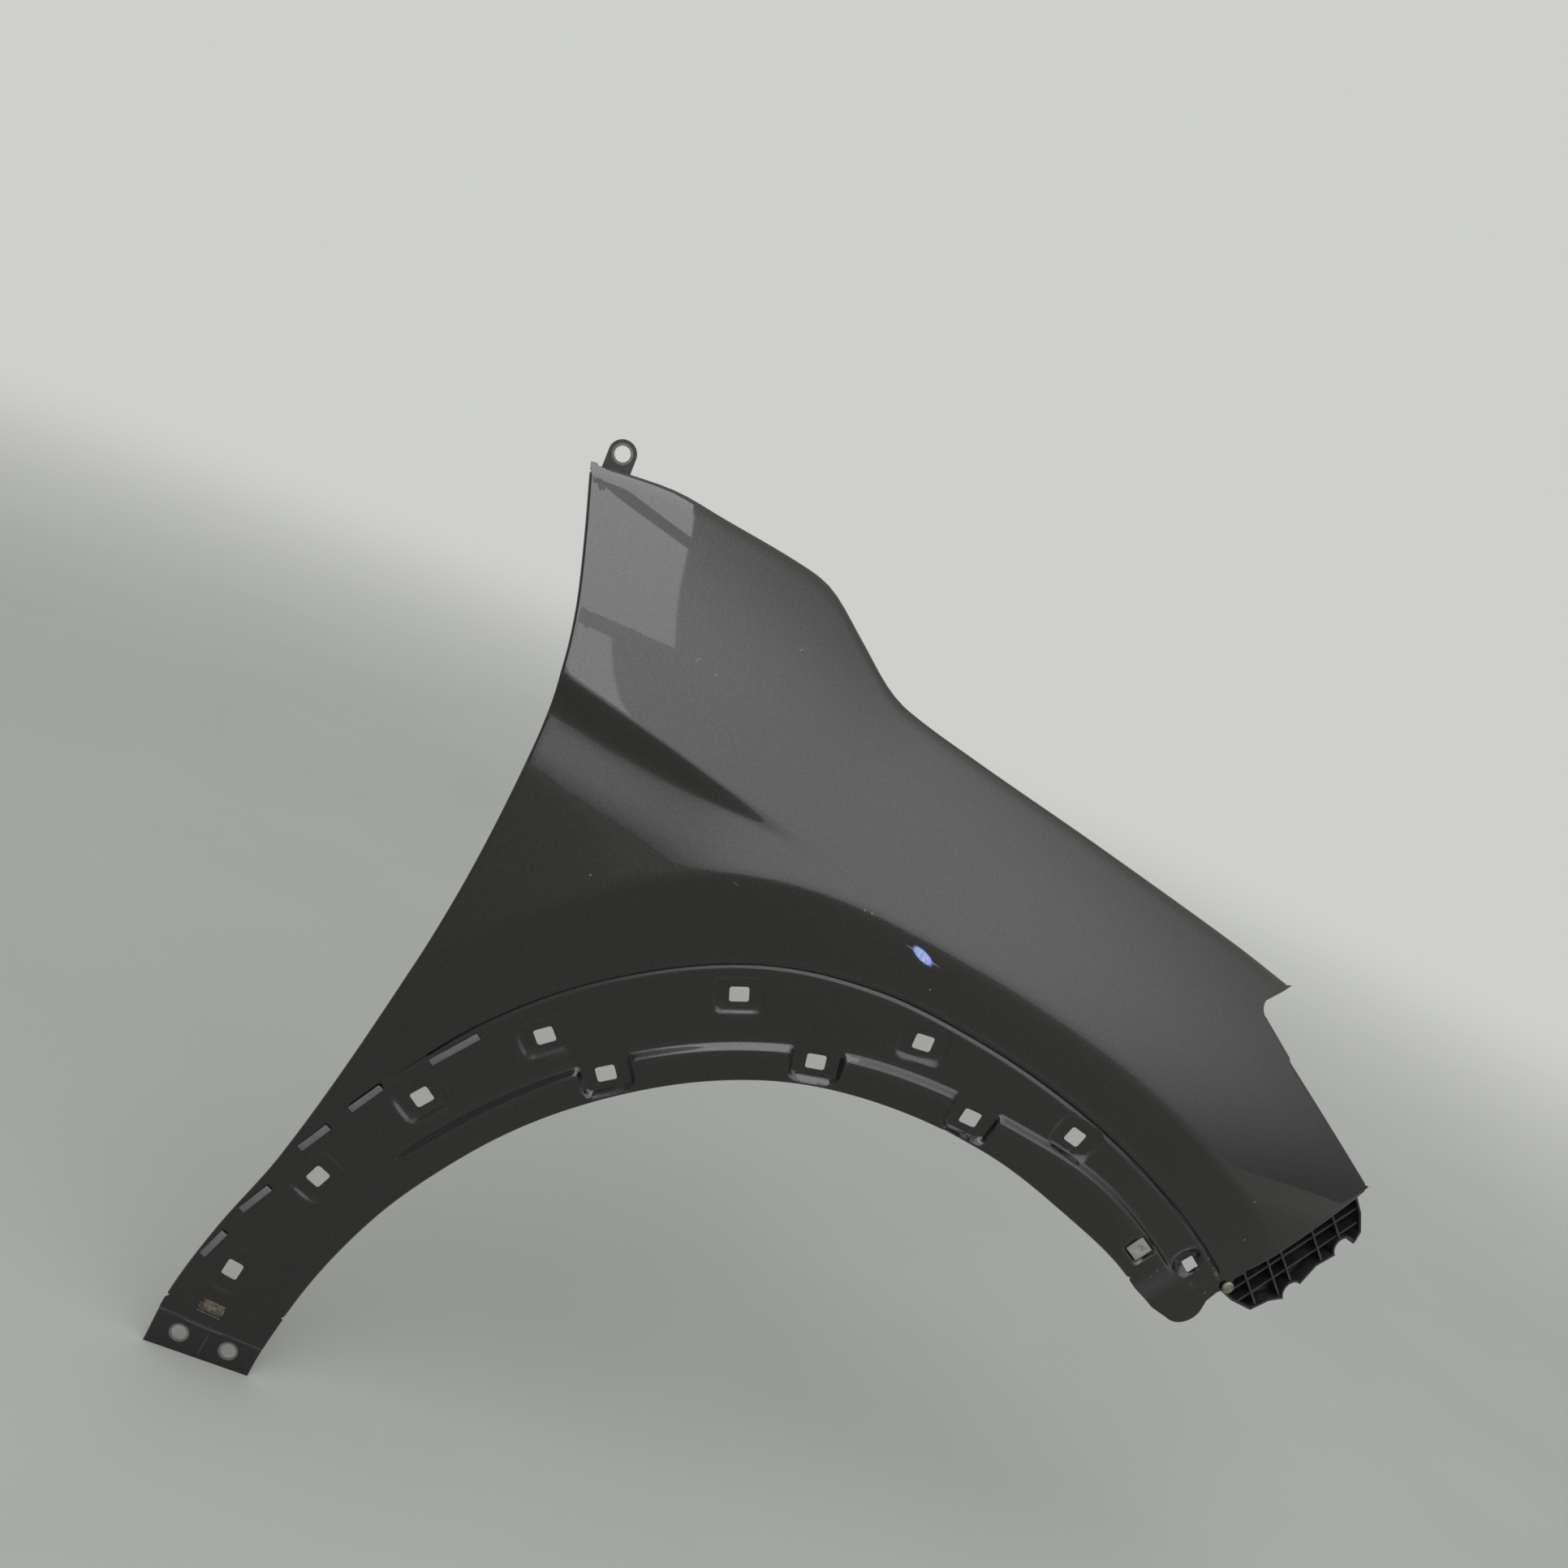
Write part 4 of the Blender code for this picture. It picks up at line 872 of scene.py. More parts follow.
def bend_steps(turn_by, length, ledge=0.0):
    """A rounded fold by some degrees, a straight wall, and a level ledge into the car."""
    def bend(a):
        return lambda out, into: FOLD_RADIUS * (out * sin(a) + into * (1 - cos(a)))

    def straight(out, into):
        a = radians(turn_by)
        return bend(a)(out, into) + length * (out * cos(a) + into * sin(a))

    def level(share):
        return lambda out, into: straight(out, into) + Vector((0, ledge * share, 0))

    steps = [bend(radians(turn_by) * k / FOLD_PARTS) for k in range(1, FOLD_PARTS + 1)]
    steps.append(straight)
    if ledge:
        steps += [level(LEDGE_CORNER), level(1.0)]
    return steps


print("a fold has", FOLD_PARTS, "turns of", FOLD_RADIUS, "m radius")

# %% [markdown]
# The sheet starts as a flat grid, because an operator then makes and joins its faces. Its
# points are laid on the form, those that fall together on the outline are welded, and the
# edges are folded. Beside the top rear corner the hood wall leans forward, out of the way of
# the door's fold.

# %% The skin as an open sheet
JOIN_DISTANCE = 0.00025
HOOD_WALL_LEAN = 0.6
HOOD_WALL_LEAN_SPAN = (HOOD_EDGE[0][0], 0.035)
BUMPER_START = 0.452
BUMPER_END_GAP = 0.004
SKIN_MIDDLE = (110, 0.5)


def make_skin_sheet():
    """A grid whose points are laid on the face, joined along the outline, and folded."""
    columns = [section_places(a) for a in angles]
    across, up = len(angles) - 1, len(columns[0]) - 1
    bm = bmesh.new()
    bmesh.ops.create_grid(bm, x_segments=across, y_segments=up, size=1.0)
    place = {}
    for v in bm.verts:
        i = round((1 - v.co.x) / 2 * across)
        k = round((v.co.y + 1) / 2 * up)
        place[(i, k)] = v
        v.co = skin_point(columns[i][k])
    joined = {}
    for i in range(across + 1):
        for k in range(up - 1, -1, -1):
            if (place[(i, k)].co - place[(i, k + 1)].co).length < JOIN_DISTANCE:
                joined[place[(i, k)]] = place[(i, k + 1)]
                place[(i, k)] = place[(i, k + 1)]
    target = {}
    for v in joined:
        end = joined[v]
        while end in joined:
            end = joined[end]
        target[v] = end
    bmesh.ops.weld_verts(bm, targetmap=target)

    def edge_frame(i, k, row_wise):
        """The outward direction, across the edge, and the inward normal of the face."""
        v = place[(i, k)]
        at_arch = row_wise and k == 0
        into = (fold_direction if at_arch else inward)(v.co.x, v.co.z)
        i0, i1 = (max(i - 1, 0), min(i + 1, across)) if row_wise else (i, i)
        if k == up:
            i0, i1 = (j if kinds[j] == kinds[i] else i for j in (i0, i1))
        k0, k1 = (k, k) if row_wise else (k - 1, k + 1)
        side = place[(i1, k1)].co - place[(i0, k0)].co
        out = side.cross(into).normalized()
        inner = place[(i, up // 2)] if row_wise else place[(1, k)]
        out = out if out.dot(v.co - inner.co) > 0 else -out
        if k == up and kinds[i] == "hood":
            forward = HOOD_WALL_LEAN * (1 - eased(v.co.x, HOOD_WALL_LEAN_SPAN))
            into = (into + Vector((forward, 0, 0))).normalized()
        return out, into

    def run(keys, row_wise, steps):
        fold(bm, {place[key]: edge_frame(*key, row_wise) for key in keys}, steps)

    kinds = {i: flange_at(angles[i]) for i in range(across + 1)}
    folds = {"door": bend_steps(*DOOR_FLANGE), "hood": bend_steps(*HOOD_FLANGE, HOOD_LEDGE),
             "lamp": bend_steps(*LAMP_FLANGE)}
    for kind, steps in folds.items():
        run([(i, up) for i in kinds if kinds[i] == kind], True, steps)
    first, last = ARCH_FLANGE_ENDS
    arch = [(i, 0) for i in kinds if first < angles[i] < last]
    run(arch, True, bend_steps(*ARCH_FLANGE))
    top = columns[0][up].length - BUMPER_END_GAP
    front = [k for k in range(1, up) if BUMPER_START < columns[0][k].length < top]
    distinct = [k for k in front if place[(0, k)] is not place[(0, k + 1)]]
    run([(0, k) for k in distinct], False, bend_steps(*BUMPER_FLANGE))
    bmesh.ops.recalc_face_normals(bm, faces=bm.faces)
    aim = on_face(*polar(*SKIN_MIDDLE))
    middle = min(bm.faces, key=lambda f: (f.calc_center_median() - aim).length)
    if middle.normal.y > 0:
        bmesh.ops.reverse_faces(bm, faces=bm.faces)
    return bm


skin = make_skin_sheet()
print("open sheet:", len(skin.faces), "faces")

# %% [markdown]
# Holes are punched with cutters, which are made here as plain shapes: rounded boxes for the
# clips, rods for the bolts, and prisms for the outlines. A seat is a frame on the face, so
# that a hole goes straight through the sheet where it stands.

# %% Cutter shapes
BOX_CORNER_PARTS = 4


def new_object(name, bm):
    """An object from a bmesh that was made around the wheel centre."""
    bmesh.ops.translate(bm, verts=bm.verts, vec=WHEEL_CENTRE)
    mesh = bpy.data.meshes.new(name)
    bm.to_mesh(mesh)
    bm.free()
    obj = bpy.data.objects.new(name, mesh)
    bpy.context.scene.collection.objects.link(obj)
    return obj


def add_box(bm, size, matrix, corner=0.0):
    """A box whose edges along its local Y are rounded."""
    made = bmesh.ops.create_cube(bm, size=1.0)["verts"]
    bmesh.ops.scale(bm, vec=size, verts=made)
    if corner:
        edges = [e for v in made for e in v.link_edges
                 if abs((e.verts[0].co - e.verts[1].co).normalized().y) > 0.9]
        edges = list(dict.fromkeys(edges))
        made = bmesh.ops.bevel(bm, geom=edges, offset=corner, segments=BOX_CORNER_PARTS,
                               profile=0.5, affect="EDGES", material=-1)["verts"] + made
        made = [v for v in dict.fromkeys(made) if v.is_valid]
    bmesh.ops.transform(bm, matrix=matrix, verts=made)


def add_rod(bm, diameter, length, matrix, sides=32):
    """A cylinder along its local Y."""
    bmesh.ops.create_cone(bm, cap_ends=True, segments=sides, radius1=diameter / 2,
                          radius2=diameter / 2, depth=length,
                          matrix=matrix @ Matrix.Rotation(pi / 2, 4, "X"))


def arc(centre, radius, start, end, steps):
    """Points of an arc, angles in degrees."""
    turns = (radians(start + (end - start) * k / steps) for k in range(steps + 1))
    return [(centre[0] + radius * cos(a), centre[1] + radius * sin(a)) for a in turns]


def prism(bm, outline, y0, y1):
    """A closed prism between two depths from an outline in X and Z."""
    cap = bm.faces.new([bm.verts.new((x, y0, z)) for x, z in outline])
    made = bmesh.ops.extrude_face_region(bm, geom=[cap])["geom"]
    fresh = [g for g in made if isinstance(g, bmesh.types.BMVert)]
    bmesh.ops.translate(bm, vec=(0, y1 - y0, 0), verts=fresh)
    bmesh.ops.recalc_face_normals(bm, faces=bm.faces)


def seat_at(x, z, turned=0.0):
    """Frame on the face: Y into the car, Z up along the face, turned about Y."""
    into = inward(x, z)
    right = into.cross(Vector((0, 0, 1))).normalized()
    seat_frame = Matrix((right, into, right.cross(into))).transposed().to_4x4()
    seat_frame.translation = on_face(x, z)
    return seat_frame @ Matrix.Rotation(turned, 4, "Y")


def seat(angle, r):
    """Frame on the face around the arch: X along the arch, Y into the car."""
    return seat_at(*polar(angle, r), turned=-radians(angle - 90))


print("rearmost clip hole at", tuple(round(c, 3) for c in seat(*OUTER_CLIPS[0]).translation))

# %% [markdown]
# One object holds all the hole cutters, with the notch under the hood tip, so that a single
# Boolean punches them. The front tip of the arch is trimmed by a prism of its own: a round
# lobe, the throat beside it, and the lug that the rivet goes through.

# %% Cutters of the holes and of the lobe
RIVET_PLACE = (0.2950, 0.3186)
RIVET_SHANK = 0.0048
LUG_RADIUS = 0.0052
HOOD_BOLTS = (-0.285, -0.075, 0.125)
HOOD_BOLT_HOLE = 0.0085
PUNCH = 0.030
RIVET_PUNCH = 0.008
BOLT_PUNCH = 0.010
LEDGE_HOLE_SHARE = 0.58
BOWL_HOLE = 0.0095
BOWL_HOLE_CORNER = 0.0012
SLOT_CORNER = 0.0008
NOTCH_TURN = (148, 245, 12)
LOBE_TURN = (245, 350, 20)
LUG_TURN = (240, 420, 16)
TRIM_ANGLE = 53.9
TRIM_START = -0.0004
TRIM_END = -0.025
TRIM_ROUND = [(0.4420, FOLD_RADIUS), (0.4525, FOLD_RADIUS), (0.4525, 0.060)]
TRIM_CORNERS = [(0.060, -0.050), (-0.040, -0.050)]
TRIM_DEPTHS = (-0.040, 0.060)


def hood_ledge_place(x):
    """Middle of the level ledge under the hood edge, at a place along the car."""
    step = 0.004
    slope = (along(HOOD_EDGE, x + step) - along(HOOD_EDGE, x - step)) / (2 * step)
    edge = on_face(x, along(HOOD_EDGE, x))
    into = inward(x, along(HOOD_EDGE, x))
    out = Vector((1, 0, slope)).cross(into).normalized()
    if out.z < 0:
        out = -out
    a = radians(HOOD_FLANGE[0])
    wall = FOLD_RADIUS * (into * (1 - cos(a)) - out * (1 - sin(a)))
    wall += HOOD_FLANGE[1] * (out * cos(a) + into * sin(a))
    return Matrix.Translation(edge + wall + Vector((0, HOOD_LEDGE * LEDGE_HOLE_SHARE, 0)))


def make_hole_cutters():
    bm = bmesh.new()
    for angle, r in OUTER_CLIPS[:-1] + INNER_CLIPS:
        add_box(bm, (CLIP_HOLE[0], PUNCH, CLIP_HOLE[1]), seat(angle, r), CLIP_CORNER)
    add_box(bm, (BOWL_HOLE, PUNCH, BOWL_HOLE), seat(*OUTER_CLIPS[-1]), BOWL_HOLE_CORNER)
    add_box(bm, (PLUG_HOLE, PUNCH, PLUG_HOLE), seat(*PLUG_PLACE), CLIP_CORNER)
    add_box(bm, (SLOT_HOLE[1], PUNCH, SLOT_HOLE[0]), seat(*SLOT_PLACE), SLOT_CORNER)
    for x, z in FOOT_HOLES:
        add_rod(bm, FOOT_HOLE, PUNCH, seat_at(x, z))
    add_rod(bm, RIVET_SHANK + 2 * CLEARANCE, RIVET_PUNCH, seat_at(*RIVET_PLACE), 16)
    for x in HOOD_BOLTS:
        upright = hood_ledge_place(x) @ Matrix.Rotation(pi / 2, 4, "X")
        add_rod(bm, HOOD_BOLT_HOLE, BOLT_PUNCH, upright)
    notch = NOTCH_TOP + arc(NOTCH_CENTRE, NOTCH_RADIUS, *NOTCH_TURN) + NOTCH_BEYOND
    level = face(*NOTCH_CENTRE)
    prism(bm, notch, level - PUNCH, level + PUNCH)
    return new_object("hole_cutters", bm)


def make_lobe_cutter():
    cx, cz = LOBE_CENTRE
    edge = opening(TRIM_ANGLE)
    outline = [polar(TRIM_ANGLE, edge + TRIM_START), LOBE_SIDE]
    outline += arc(LOBE_CENTRE, LOBE_RADIUS, *LOBE_TURN) + LOBE_THROAT
    outline += arc(RIVET_PLACE, LUG_RADIUS, *LUG_TURN)
    ahead = Vector((sin(radians(END_ANGLE)), -cos(radians(END_ANGLE))))
    for r, forward in TRIM_ROUND:
        x, z = polar(END_ANGLE, r)
        outline.append((x + forward * ahead.x, z + forward * ahead.y))
    outline += [(cx + right, cz + up) for right, up in TRIM_CORNERS]
    outline.append(polar(TRIM_ANGLE, edge + TRIM_END))
    bm = bmesh.new()
    prism(bm, outline, *(face(cx, cz) + depth for depth in TRIM_DEPTHS))
    return new_object("lobe_cutter", bm)


cutters = [make_hole_cutters(), make_lobe_cutter()]
print("cutters:", [len(cutter.data.polygons) for cutter in cutters], "faces")

# %% [markdown]
# The lug at the top rear corner is a flat tab with a bolt hole. It is joined to the folded
# hood edge with a Boolean union, and its hole is punched after that.

# %% Lug
TAB_WIDTH = 0.0205
TAB_CENTRE = (-0.3724, 0.7257)
TAB_HOLE = 0.0115
TAB_SETBACK = 0.006
TAB_ROOT = 0.022
TAB_ROUND_PARTS = 32


def tab_depth():
    return face(TAB_CENTRE[0], along(HOOD_EDGE, TAB_CENTRE[0])) + TAB_SETBACK


def make_tab():
    bm = bmesh.new()
    cx, cz = TAB_CENTRE
    half = TAB_WIDTH / 2
    outline = [(cx - half, cz - TAB_ROOT), (cx + half, cz - TAB_ROOT)]
    outline += arc(TAB_CENTRE, half, 0, 180, TAB_ROUND_PARTS)
    prism(bm, outline, tab_depth(), tab_depth() + SHEET)
    return new_object("tab_blank", bm)


def make_tab_hole_cutter():
    bm = bmesh.new()
    middle = Vector((TAB_CENTRE[0], tab_depth(), TAB_CENTRE[1]))
    add_rod(bm, TAB_HOLE, BOLT_PUNCH, Matrix.Translation(middle))
    return new_object("tab_hole_cutter", bm)


print("lug", round(tab_depth(), 4), "m inboard")

# %% [markdown]
# The sheet gets its thickness from Solidify, inwards, so that the painted face stays where
# it was laid. Booleans join the lug and punch the holes. Where two flanges meet, hidden
# behind the top rear corner, the sheet crosses itself, and the Manifold solver takes that.
# It finds the faces in another order each run, so they are sorted by place at the end.

# %% Panel
SHARP_DEGREES = 38


def boolean(obj, other, operation):
    modifier = obj.modifiers.new(operation.lower(), "BOOLEAN")
    modifier.object = other
    modifier.operation = operation
    modifier.solver = "MANIFOLD"


def apply_modifiers(obj, helpers=()):
    """Replace an object's mesh by what its modifiers make of it, and remove the helpers."""
    graph = bpy.context.evaluated_depsgraph_get()
    mesh = bpy.data.meshes.new_from_object(obj.evaluated_get(graph))
    obj.modifiers.clear()
    obj.data = mesh
    for helper in helpers:
        bpy.data.objects.remove(helper)


def sort_by_place(mesh):
    """Points by where they are, and edges and faces by their points."""
    bm = bmesh.new()
    bm.from_mesh(mesh)
    points = sorted(bm.verts, key=lambda v: tuple(v.co))
    rank = {v: number for number, v in enumerate(points)}
    bm.verts.sort(key=rank.get)
    for parts in (bm.edges, bm.faces):
        ordered = sorted(parts, key=lambda part: sorted(rank[v] for v in part.verts))
        place_in_order = {part: number for number, part in enumerate(ordered)}
        parts.sort(key=place_in_order.get)
    bm.to_mesh(mesh)
    bm.free()


def shade(obj, sharp_degrees):
    """Smooth shading, broken where two faces meet at more than an angle."""
    obj.data.shade_smooth()
    obj.data.set_sharp_from_angle(angle=radians(sharp_degrees))


panel = new_object("fender_skin", skin)
thick = panel.modifiers.new("sheet", "SOLIDIFY")
thick.thickness = SHEET
thick.offset = -1.0
thick.use_even_offset = False
thick.use_quality_normals = True
tab = make_tab()
boolean(panel, tab, "UNION")
cutters.append(make_tab_hole_cutter())
for cutter in cutters:
    boolean(panel, cutter, "DIFFERENCE")
apply_modifiers(panel, [tab, *cutters])
sort_by_place(panel.data)
shade(panel, SHARP_DEGREES)
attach(panel, "root")
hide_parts("fender_panel")
panel.data.calc_loop_triangles()
print("panel:", len(panel.data.loop_triangles), "triangles")

# %% [markdown]
# Wear has a place, and so have the painted shade and the painted highlight, so each mark is a mask
# around a point of the CAD frame, in the side view.
# One helper gives the distance from that point as a share of an ellipse, turned as the mark
# lies, and another makes a soft-edged patch of it.

# %% Masks by position


def spot(nodes, places, centre, half, turned=0.0):
    """Distance from a place on the face as a share of an ellipse, and its two parts."""
    moved = {0: places, 1: tuple(WHEEL_CENTRE + Vector((centre[0], 0.0, centre[1])))}
    local = nodes.add("ShaderNodeVectorMath", {"operation": "SUBTRACT"}, moved).outputs[0]
    parts = nodes.add("ShaderNodeSeparateXYZ", {}, {0: local})
    x, z = Amount(nodes, parts.outputs["X"]), Amount(nodes, parts.outputs["Z"])
    c, s = cos(radians(turned)), sin(radians(turned))
    u = (x * c + z * s) / half[0]
    v = (z * c - x * s) / half[1]
    return (u * u + v * v).root(), u, v


def within(nodes, places, centre, half, turned=0.0, ease=0.25):
    """1 inside an ellipse on the face, easing to 0 at its rim."""
    return 1 - nodes.band(spot(nodes, places, centre, half, turned)[0], 1 - ease, 1.0)


print("marks are placed from the wheel centre at", tuple(round(c, 4) for c in WHEEL_CENTRE))

# %% [markdown]
# The foot is pressed back along a wavy line, which catches the light. That light is a painted
# highlight: a pale line in the primer colour. The paint is worn around the bolt holes and along
# a line between them. The wave is a straight line with steps in it, so its distance is a sum.

# %% Marks on the foot
# Where the painted highlight of the foot's joggle runs, and the steps in its line.
HIGHLIGHT_LINE = (0.0296, -0.4525, -0.0686)
HIGHLIGHT_WIDTH = (0.0002, 0.0007)
HIGHLIGHT_END = (-0.372, -0.368)
HIGHLIGHT_STEPS = [(-0.4384, -0.4314, -0.0018), (-0.4074, -0.4015, 0.0015)]
FOOT_RING = 0.0077
FOOT_LINE = ((-0.4152, 0.0118), (0.0108, 0.0008), 82)


def foot_wear_and_painted_highlight(nodes, places):
    """A painted highlight along the wavy line of the joggle, the worn rings round the bolts and the
    worn line between them.
    """
    _, x, z = spot(nodes, places, (0.0, 0.0), (1.0, 1.0))
    line = HIGHLIGHT_LINE[0] + (x - HIGHLIGHT_LINE[1]) * HIGHLIGHT_LINE[2]
    for low, high, step in HIGHLIGHT_STEPS:
        line = line + nodes.band(x, low, high) * step
    off = z - line
    # Painted highlight: the light on the joggle's wavy ridge, painted as a pale line.
    painted_highlight = 1 - nodes.band((off * off).root(), *HIGHLIGHT_WIDTH)
    marks = painted_highlight * (1 - nodes.band(x, *HIGHLIGHT_END)) * 0.8
    for hole in FOOT_HOLES:
        marks = marks.higher(within(nodes, places, hole, (FOOT_RING, FOOT_RING), ease=0.08) * 0.9)
    return marks.higher(within(nodes, places, *FOOT_LINE) * 0.25).clamped()


print("marks about", len(FOOT_HOLES), "bolt holes of the foot")

# %% [markdown]
# The paint is a dark grey-brown metallic base under a clear coat. Metal flake is a fine
# grain in the base colour, and the clear coat is slightly wavy, which painters call orange
# peel. Bare flecks and scratches show the primer, and the blue scuff above the arch was left
# by another thing, so it is streaky. All are on the painted side, which the normal tells.
# The bowl about the last clip hole is darkened by painted shade.
# The pale line along the foot's joggle is a painted highlight in the primer grey.

# %% Paint
PAINT_DARK = (0.0075, 0.0071, 0.0066, 1.0)
PAINT_FLAKE = (0.031, 0.0294, 0.0273, 1.0)
# Primer grey. It also paints the highlight along the foot's joggle.
BARE_AND_HIGHLIGHT_GREY = (0.12, 0.12, 0.115, 1.0)
# Painted shade: a near-black colour laid in the bowl about the last clip hole, where shade falls.
BOWL_PAINTED_SHADE = (0.0015, 0.0015, 0.0015, 1.0)
BOWL_PAINTED_SHADE_RADIUS = 0.0140
TAB_RING = 0.0078
FLECK = 0.0009
SMUDGE = ((0.2665, 0.3115), (0.0085, 0.0035), -35, 0.9)
SCUFF = (-0.0479, 0.4902)
SCUFF_HALF = (0.0120, 0.0042)
SCUFF_TURN = -25
SCUFF_TAIL = ((0.0185, 0.0010), -14, 0.6)
SCUFF_STREAKS = (900, 60, 160)
SCUFF_BLUE = (0.20, 0.32, 0.80, 1.0)
SCUFF_PALE = (0.5, 0.56, 0.75, 1.0)
FLECKS = [(-0.0993, 0.5062), (-0.0937, 0.5059), (-0.0326, 0.4689), (-0.2830, 0.4610),
          (0.2799, 0.3930), (0.2879, 0.3612), (0.2775, 0.3297), (0.2694, 0.3360),
          (0.2307, 0.3170), (0.2289, 0.3105), (0.2800, 0.3084)]
SCRATCHES = [((-0.1900, 0.4930), (0.0035, 0.0004), -20), ((-0.2700, 0.6200), (0.0020, 0.0003), 60),
             ((-0.2550, 0.6150), (0.0016, 0.0003), 35), ((-0.2050, 0.6500), (0.0024, 0.0003), 50)]


def painted_side(nodes):
    """1 where the surface looks out of the car, 0 where it looks into it."""
    normal = nodes.add("ShaderNodeNewGeometry").outputs["Normal"]
    inboard = nodes.add("ShaderNodeSeparateXYZ", {}, {0: normal}).outputs["Y"]
    return 1 - nodes.band(Amount(nodes, inboard), -0.1, 0.1)


def bare_and_highlight_marks(nodes, places):
    """Where the primer shows, on the foot, round the lug's hole, in flecks and scratches, and the
    painted highlight along the foot's joggle.
    """
    ring = within(nodes, places, TAB_CENTRE, (TAB_RING, TAB_RING), ease=0.06)
    bare_and_highlight = foot_wear_and_painted_highlight(nodes, places).higher(ring * 0.7)
    for centre in FLECKS:
        bare_and_highlight = bare_and_highlight.higher(within(nodes, places, centre, (FLECK, FLECK), ease=0.5))
    for centre, half, turned in SCRATCHES:
        bare_and_highlight = bare_and_highlight.higher(within(nodes, places, centre, half, turned, 0.6) * 0.9)
    return bare_and_highlight


def scuff_marks(nodes, places):
    """How much another thing's paint was rubbed on, and its streaky colour."""
    away = spot(nodes, places, SCUFF, SCUFF_HALF, SCUFF_TURN)[0]
    streaks = nodes.noise(nodes.stretch(places, SCUFF_STREAKS, (0, radians(20), 0)), 1.0, 2.0)
    tail = within(nodes, places, SCUFF, *SCUFF_TAIL)
    torn = nodes.band(1.15 - away - streaks * 0.45, 0.0, 0.30).higher(tail * 0.5)
    return torn, nodes.mix(nodes.band(streaks, 0.45, 0.62), SCUFF_BLUE, SCUFF_PALE)


def paint_values(nodes):
    places = nodes.places()
    outside = painted_side(nodes)
    flake = nodes.noise(places, 2600.0, 1.0)
    clumps = nodes.noise(places, 700.0, 2.0)
    bright = nodes.band(flake * 0.75 + clumps * 0.25, 0.36, 0.70)
    colour = nodes.mix(bright, PAINT_DARK, PAINT_FLAKE)
    # Painted shade: the bowl about the last clip hole is darkened towards black.
    painted_shade_radii = (BOWL_PAINTED_SHADE_RADIUS, BOWL_PAINTED_SHADE_RADIUS)
    colour = nodes.mix(within(nodes, places, BOWL, painted_shade_radii, ease=0.3) * 0.95, colour, BOWL_PAINTED_SHADE)
    cloud = nodes.band(nodes.noise(places, 300.0, 3.0), 0.40, 0.65)
    smudge = within(nodes, places, *SMUDGE) * cloud * outside
    colour = nodes.mix(smudge * 0.35, colour, BARE_AND_HIGHLIGHT_GREY)
    # Primer showing, with the painted highlight of the foot's joggle in the same grey.
    bare_and_highlight = bare_and_highlight_marks(nodes, places) * outside
    colour = nodes.mix(bare_and_highlight, colour, BARE_AND_HIGHLIGHT_GREY)
    torn, rubbed = scuff_marks(nodes, places)
    torn = torn * outside
    haze = nodes.noise(places, 16.0, 3.0)
    peel = nodes.noise(places, 270.0, 2.0, 0.4)
    return {
        "Base Color": nodes.mix(torn, colour, rubbed),
        "Roughness": 0.30 + haze * 0.06 + torn * 0.2 + bare_and_highlight * 0.15,
        "Metallic": 0.9 - torn * 0.8 - bare_and_highlight * 0.6,
        "Normal": nodes.bump(peel, 0.0004, 0.5),
    }


paint = finish("grey_brown_paint", paint_values, Coat_Weight=1.0, Coat_Roughness=0.025)
panel.data.materials.clear()
panel.data.materials.append(paint)

# %% [markdown]
# The small pieces keep their CAD shape, but nothing moulded or stamped has knife edges, and
# a bevelled edge is what catches the light. Each is a copy of its node whose triangles are
# merged back into flat faces, and whose edges are then bevelled.

# %% Bevelled copies of the small nodes
MERGE_DISTANCE = 2e-5
FLAT_DEGREES = 1.0
EDGE_DEGREES = 26
EDGE_PARTS = 2
COPY_SHARP_DEGREES = 40


def rounded_copy(node, name, width, material):
    """A copy of a CAD node with its edges bevelled, standing for that node."""
    bm = bmesh.new()
    bm.from_mesh(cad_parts[node].data)
    bmesh.ops.remove_doubles(bm, verts=bm.verts, dist=MERGE_DISTANCE)
    flat, sharp = radians(FLAT_DEGREES), radians(EDGE_DEGREES)
    bmesh.ops.dissolve_limit(bm, angle_limit=flat, verts=bm.verts, edges=bm.edges)
    corners = [e for e in bm.edges if e.is_manifold and e.calc_face_angle() > sharp]
    bmesh.ops.bevel(bm, geom=corners, offset=width, segments=EDGE_PARTS, profile=0.5,
                    affect="EDGES", material=-1, clamp_overlap=True)
    bmesh.ops.recalc_face_normals(bm, faces=bm.faces)
    mesh = bpy.data.meshes.new(name)
    bm.to_mesh(mesh)
    bm.free()
    obj = bpy.data.objects.new(name, mesh)
    bpy.context.scene.collection.objects.link(obj)
    shade(obj, COPY_SHARP_DEGREES)
    mesh.materials.append(material)
    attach(obj, "root")
    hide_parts(node)
    print(name, len(mesh.polygons), "faces")


# %% [markdown]
# The guide is black moulded plastic with dust in its grain. The rivet and the spring clip
# are plated steel that has dulled and begun to rust. The plug is pale plastic, and the strips
# are open foam. Each finish has one stain or grain that goes with its way of ageing.

# %% Finishes of the small pieces
PLASTIC_BLACK = (0.007, 0.007, 0.008, 1.0)
PLASTIC_DUST = (0.026, 0.025, 0.024, 1.0)
RIVET_PLATE = (0.24, 0.24, 0.19, 1.0)
RIVET_STAIN = (0.11, 0.105, 0.08, 1.0)
CLIP_STEEL = (0.19, 0.185, 0.14, 1.0)
CLIP_RUST = (0.055, 0.036, 0.024, 1.0)
PLUG_COLOURS = [(0.20, 0.20, 0.19, 1.0), (0.25, 0.25, 0.235, 1.0)]
FOAM_COLOURS = [(0.06, 0.06, 0.06, 1.0), (0.15, 0.15, 0.15, 1.0)]


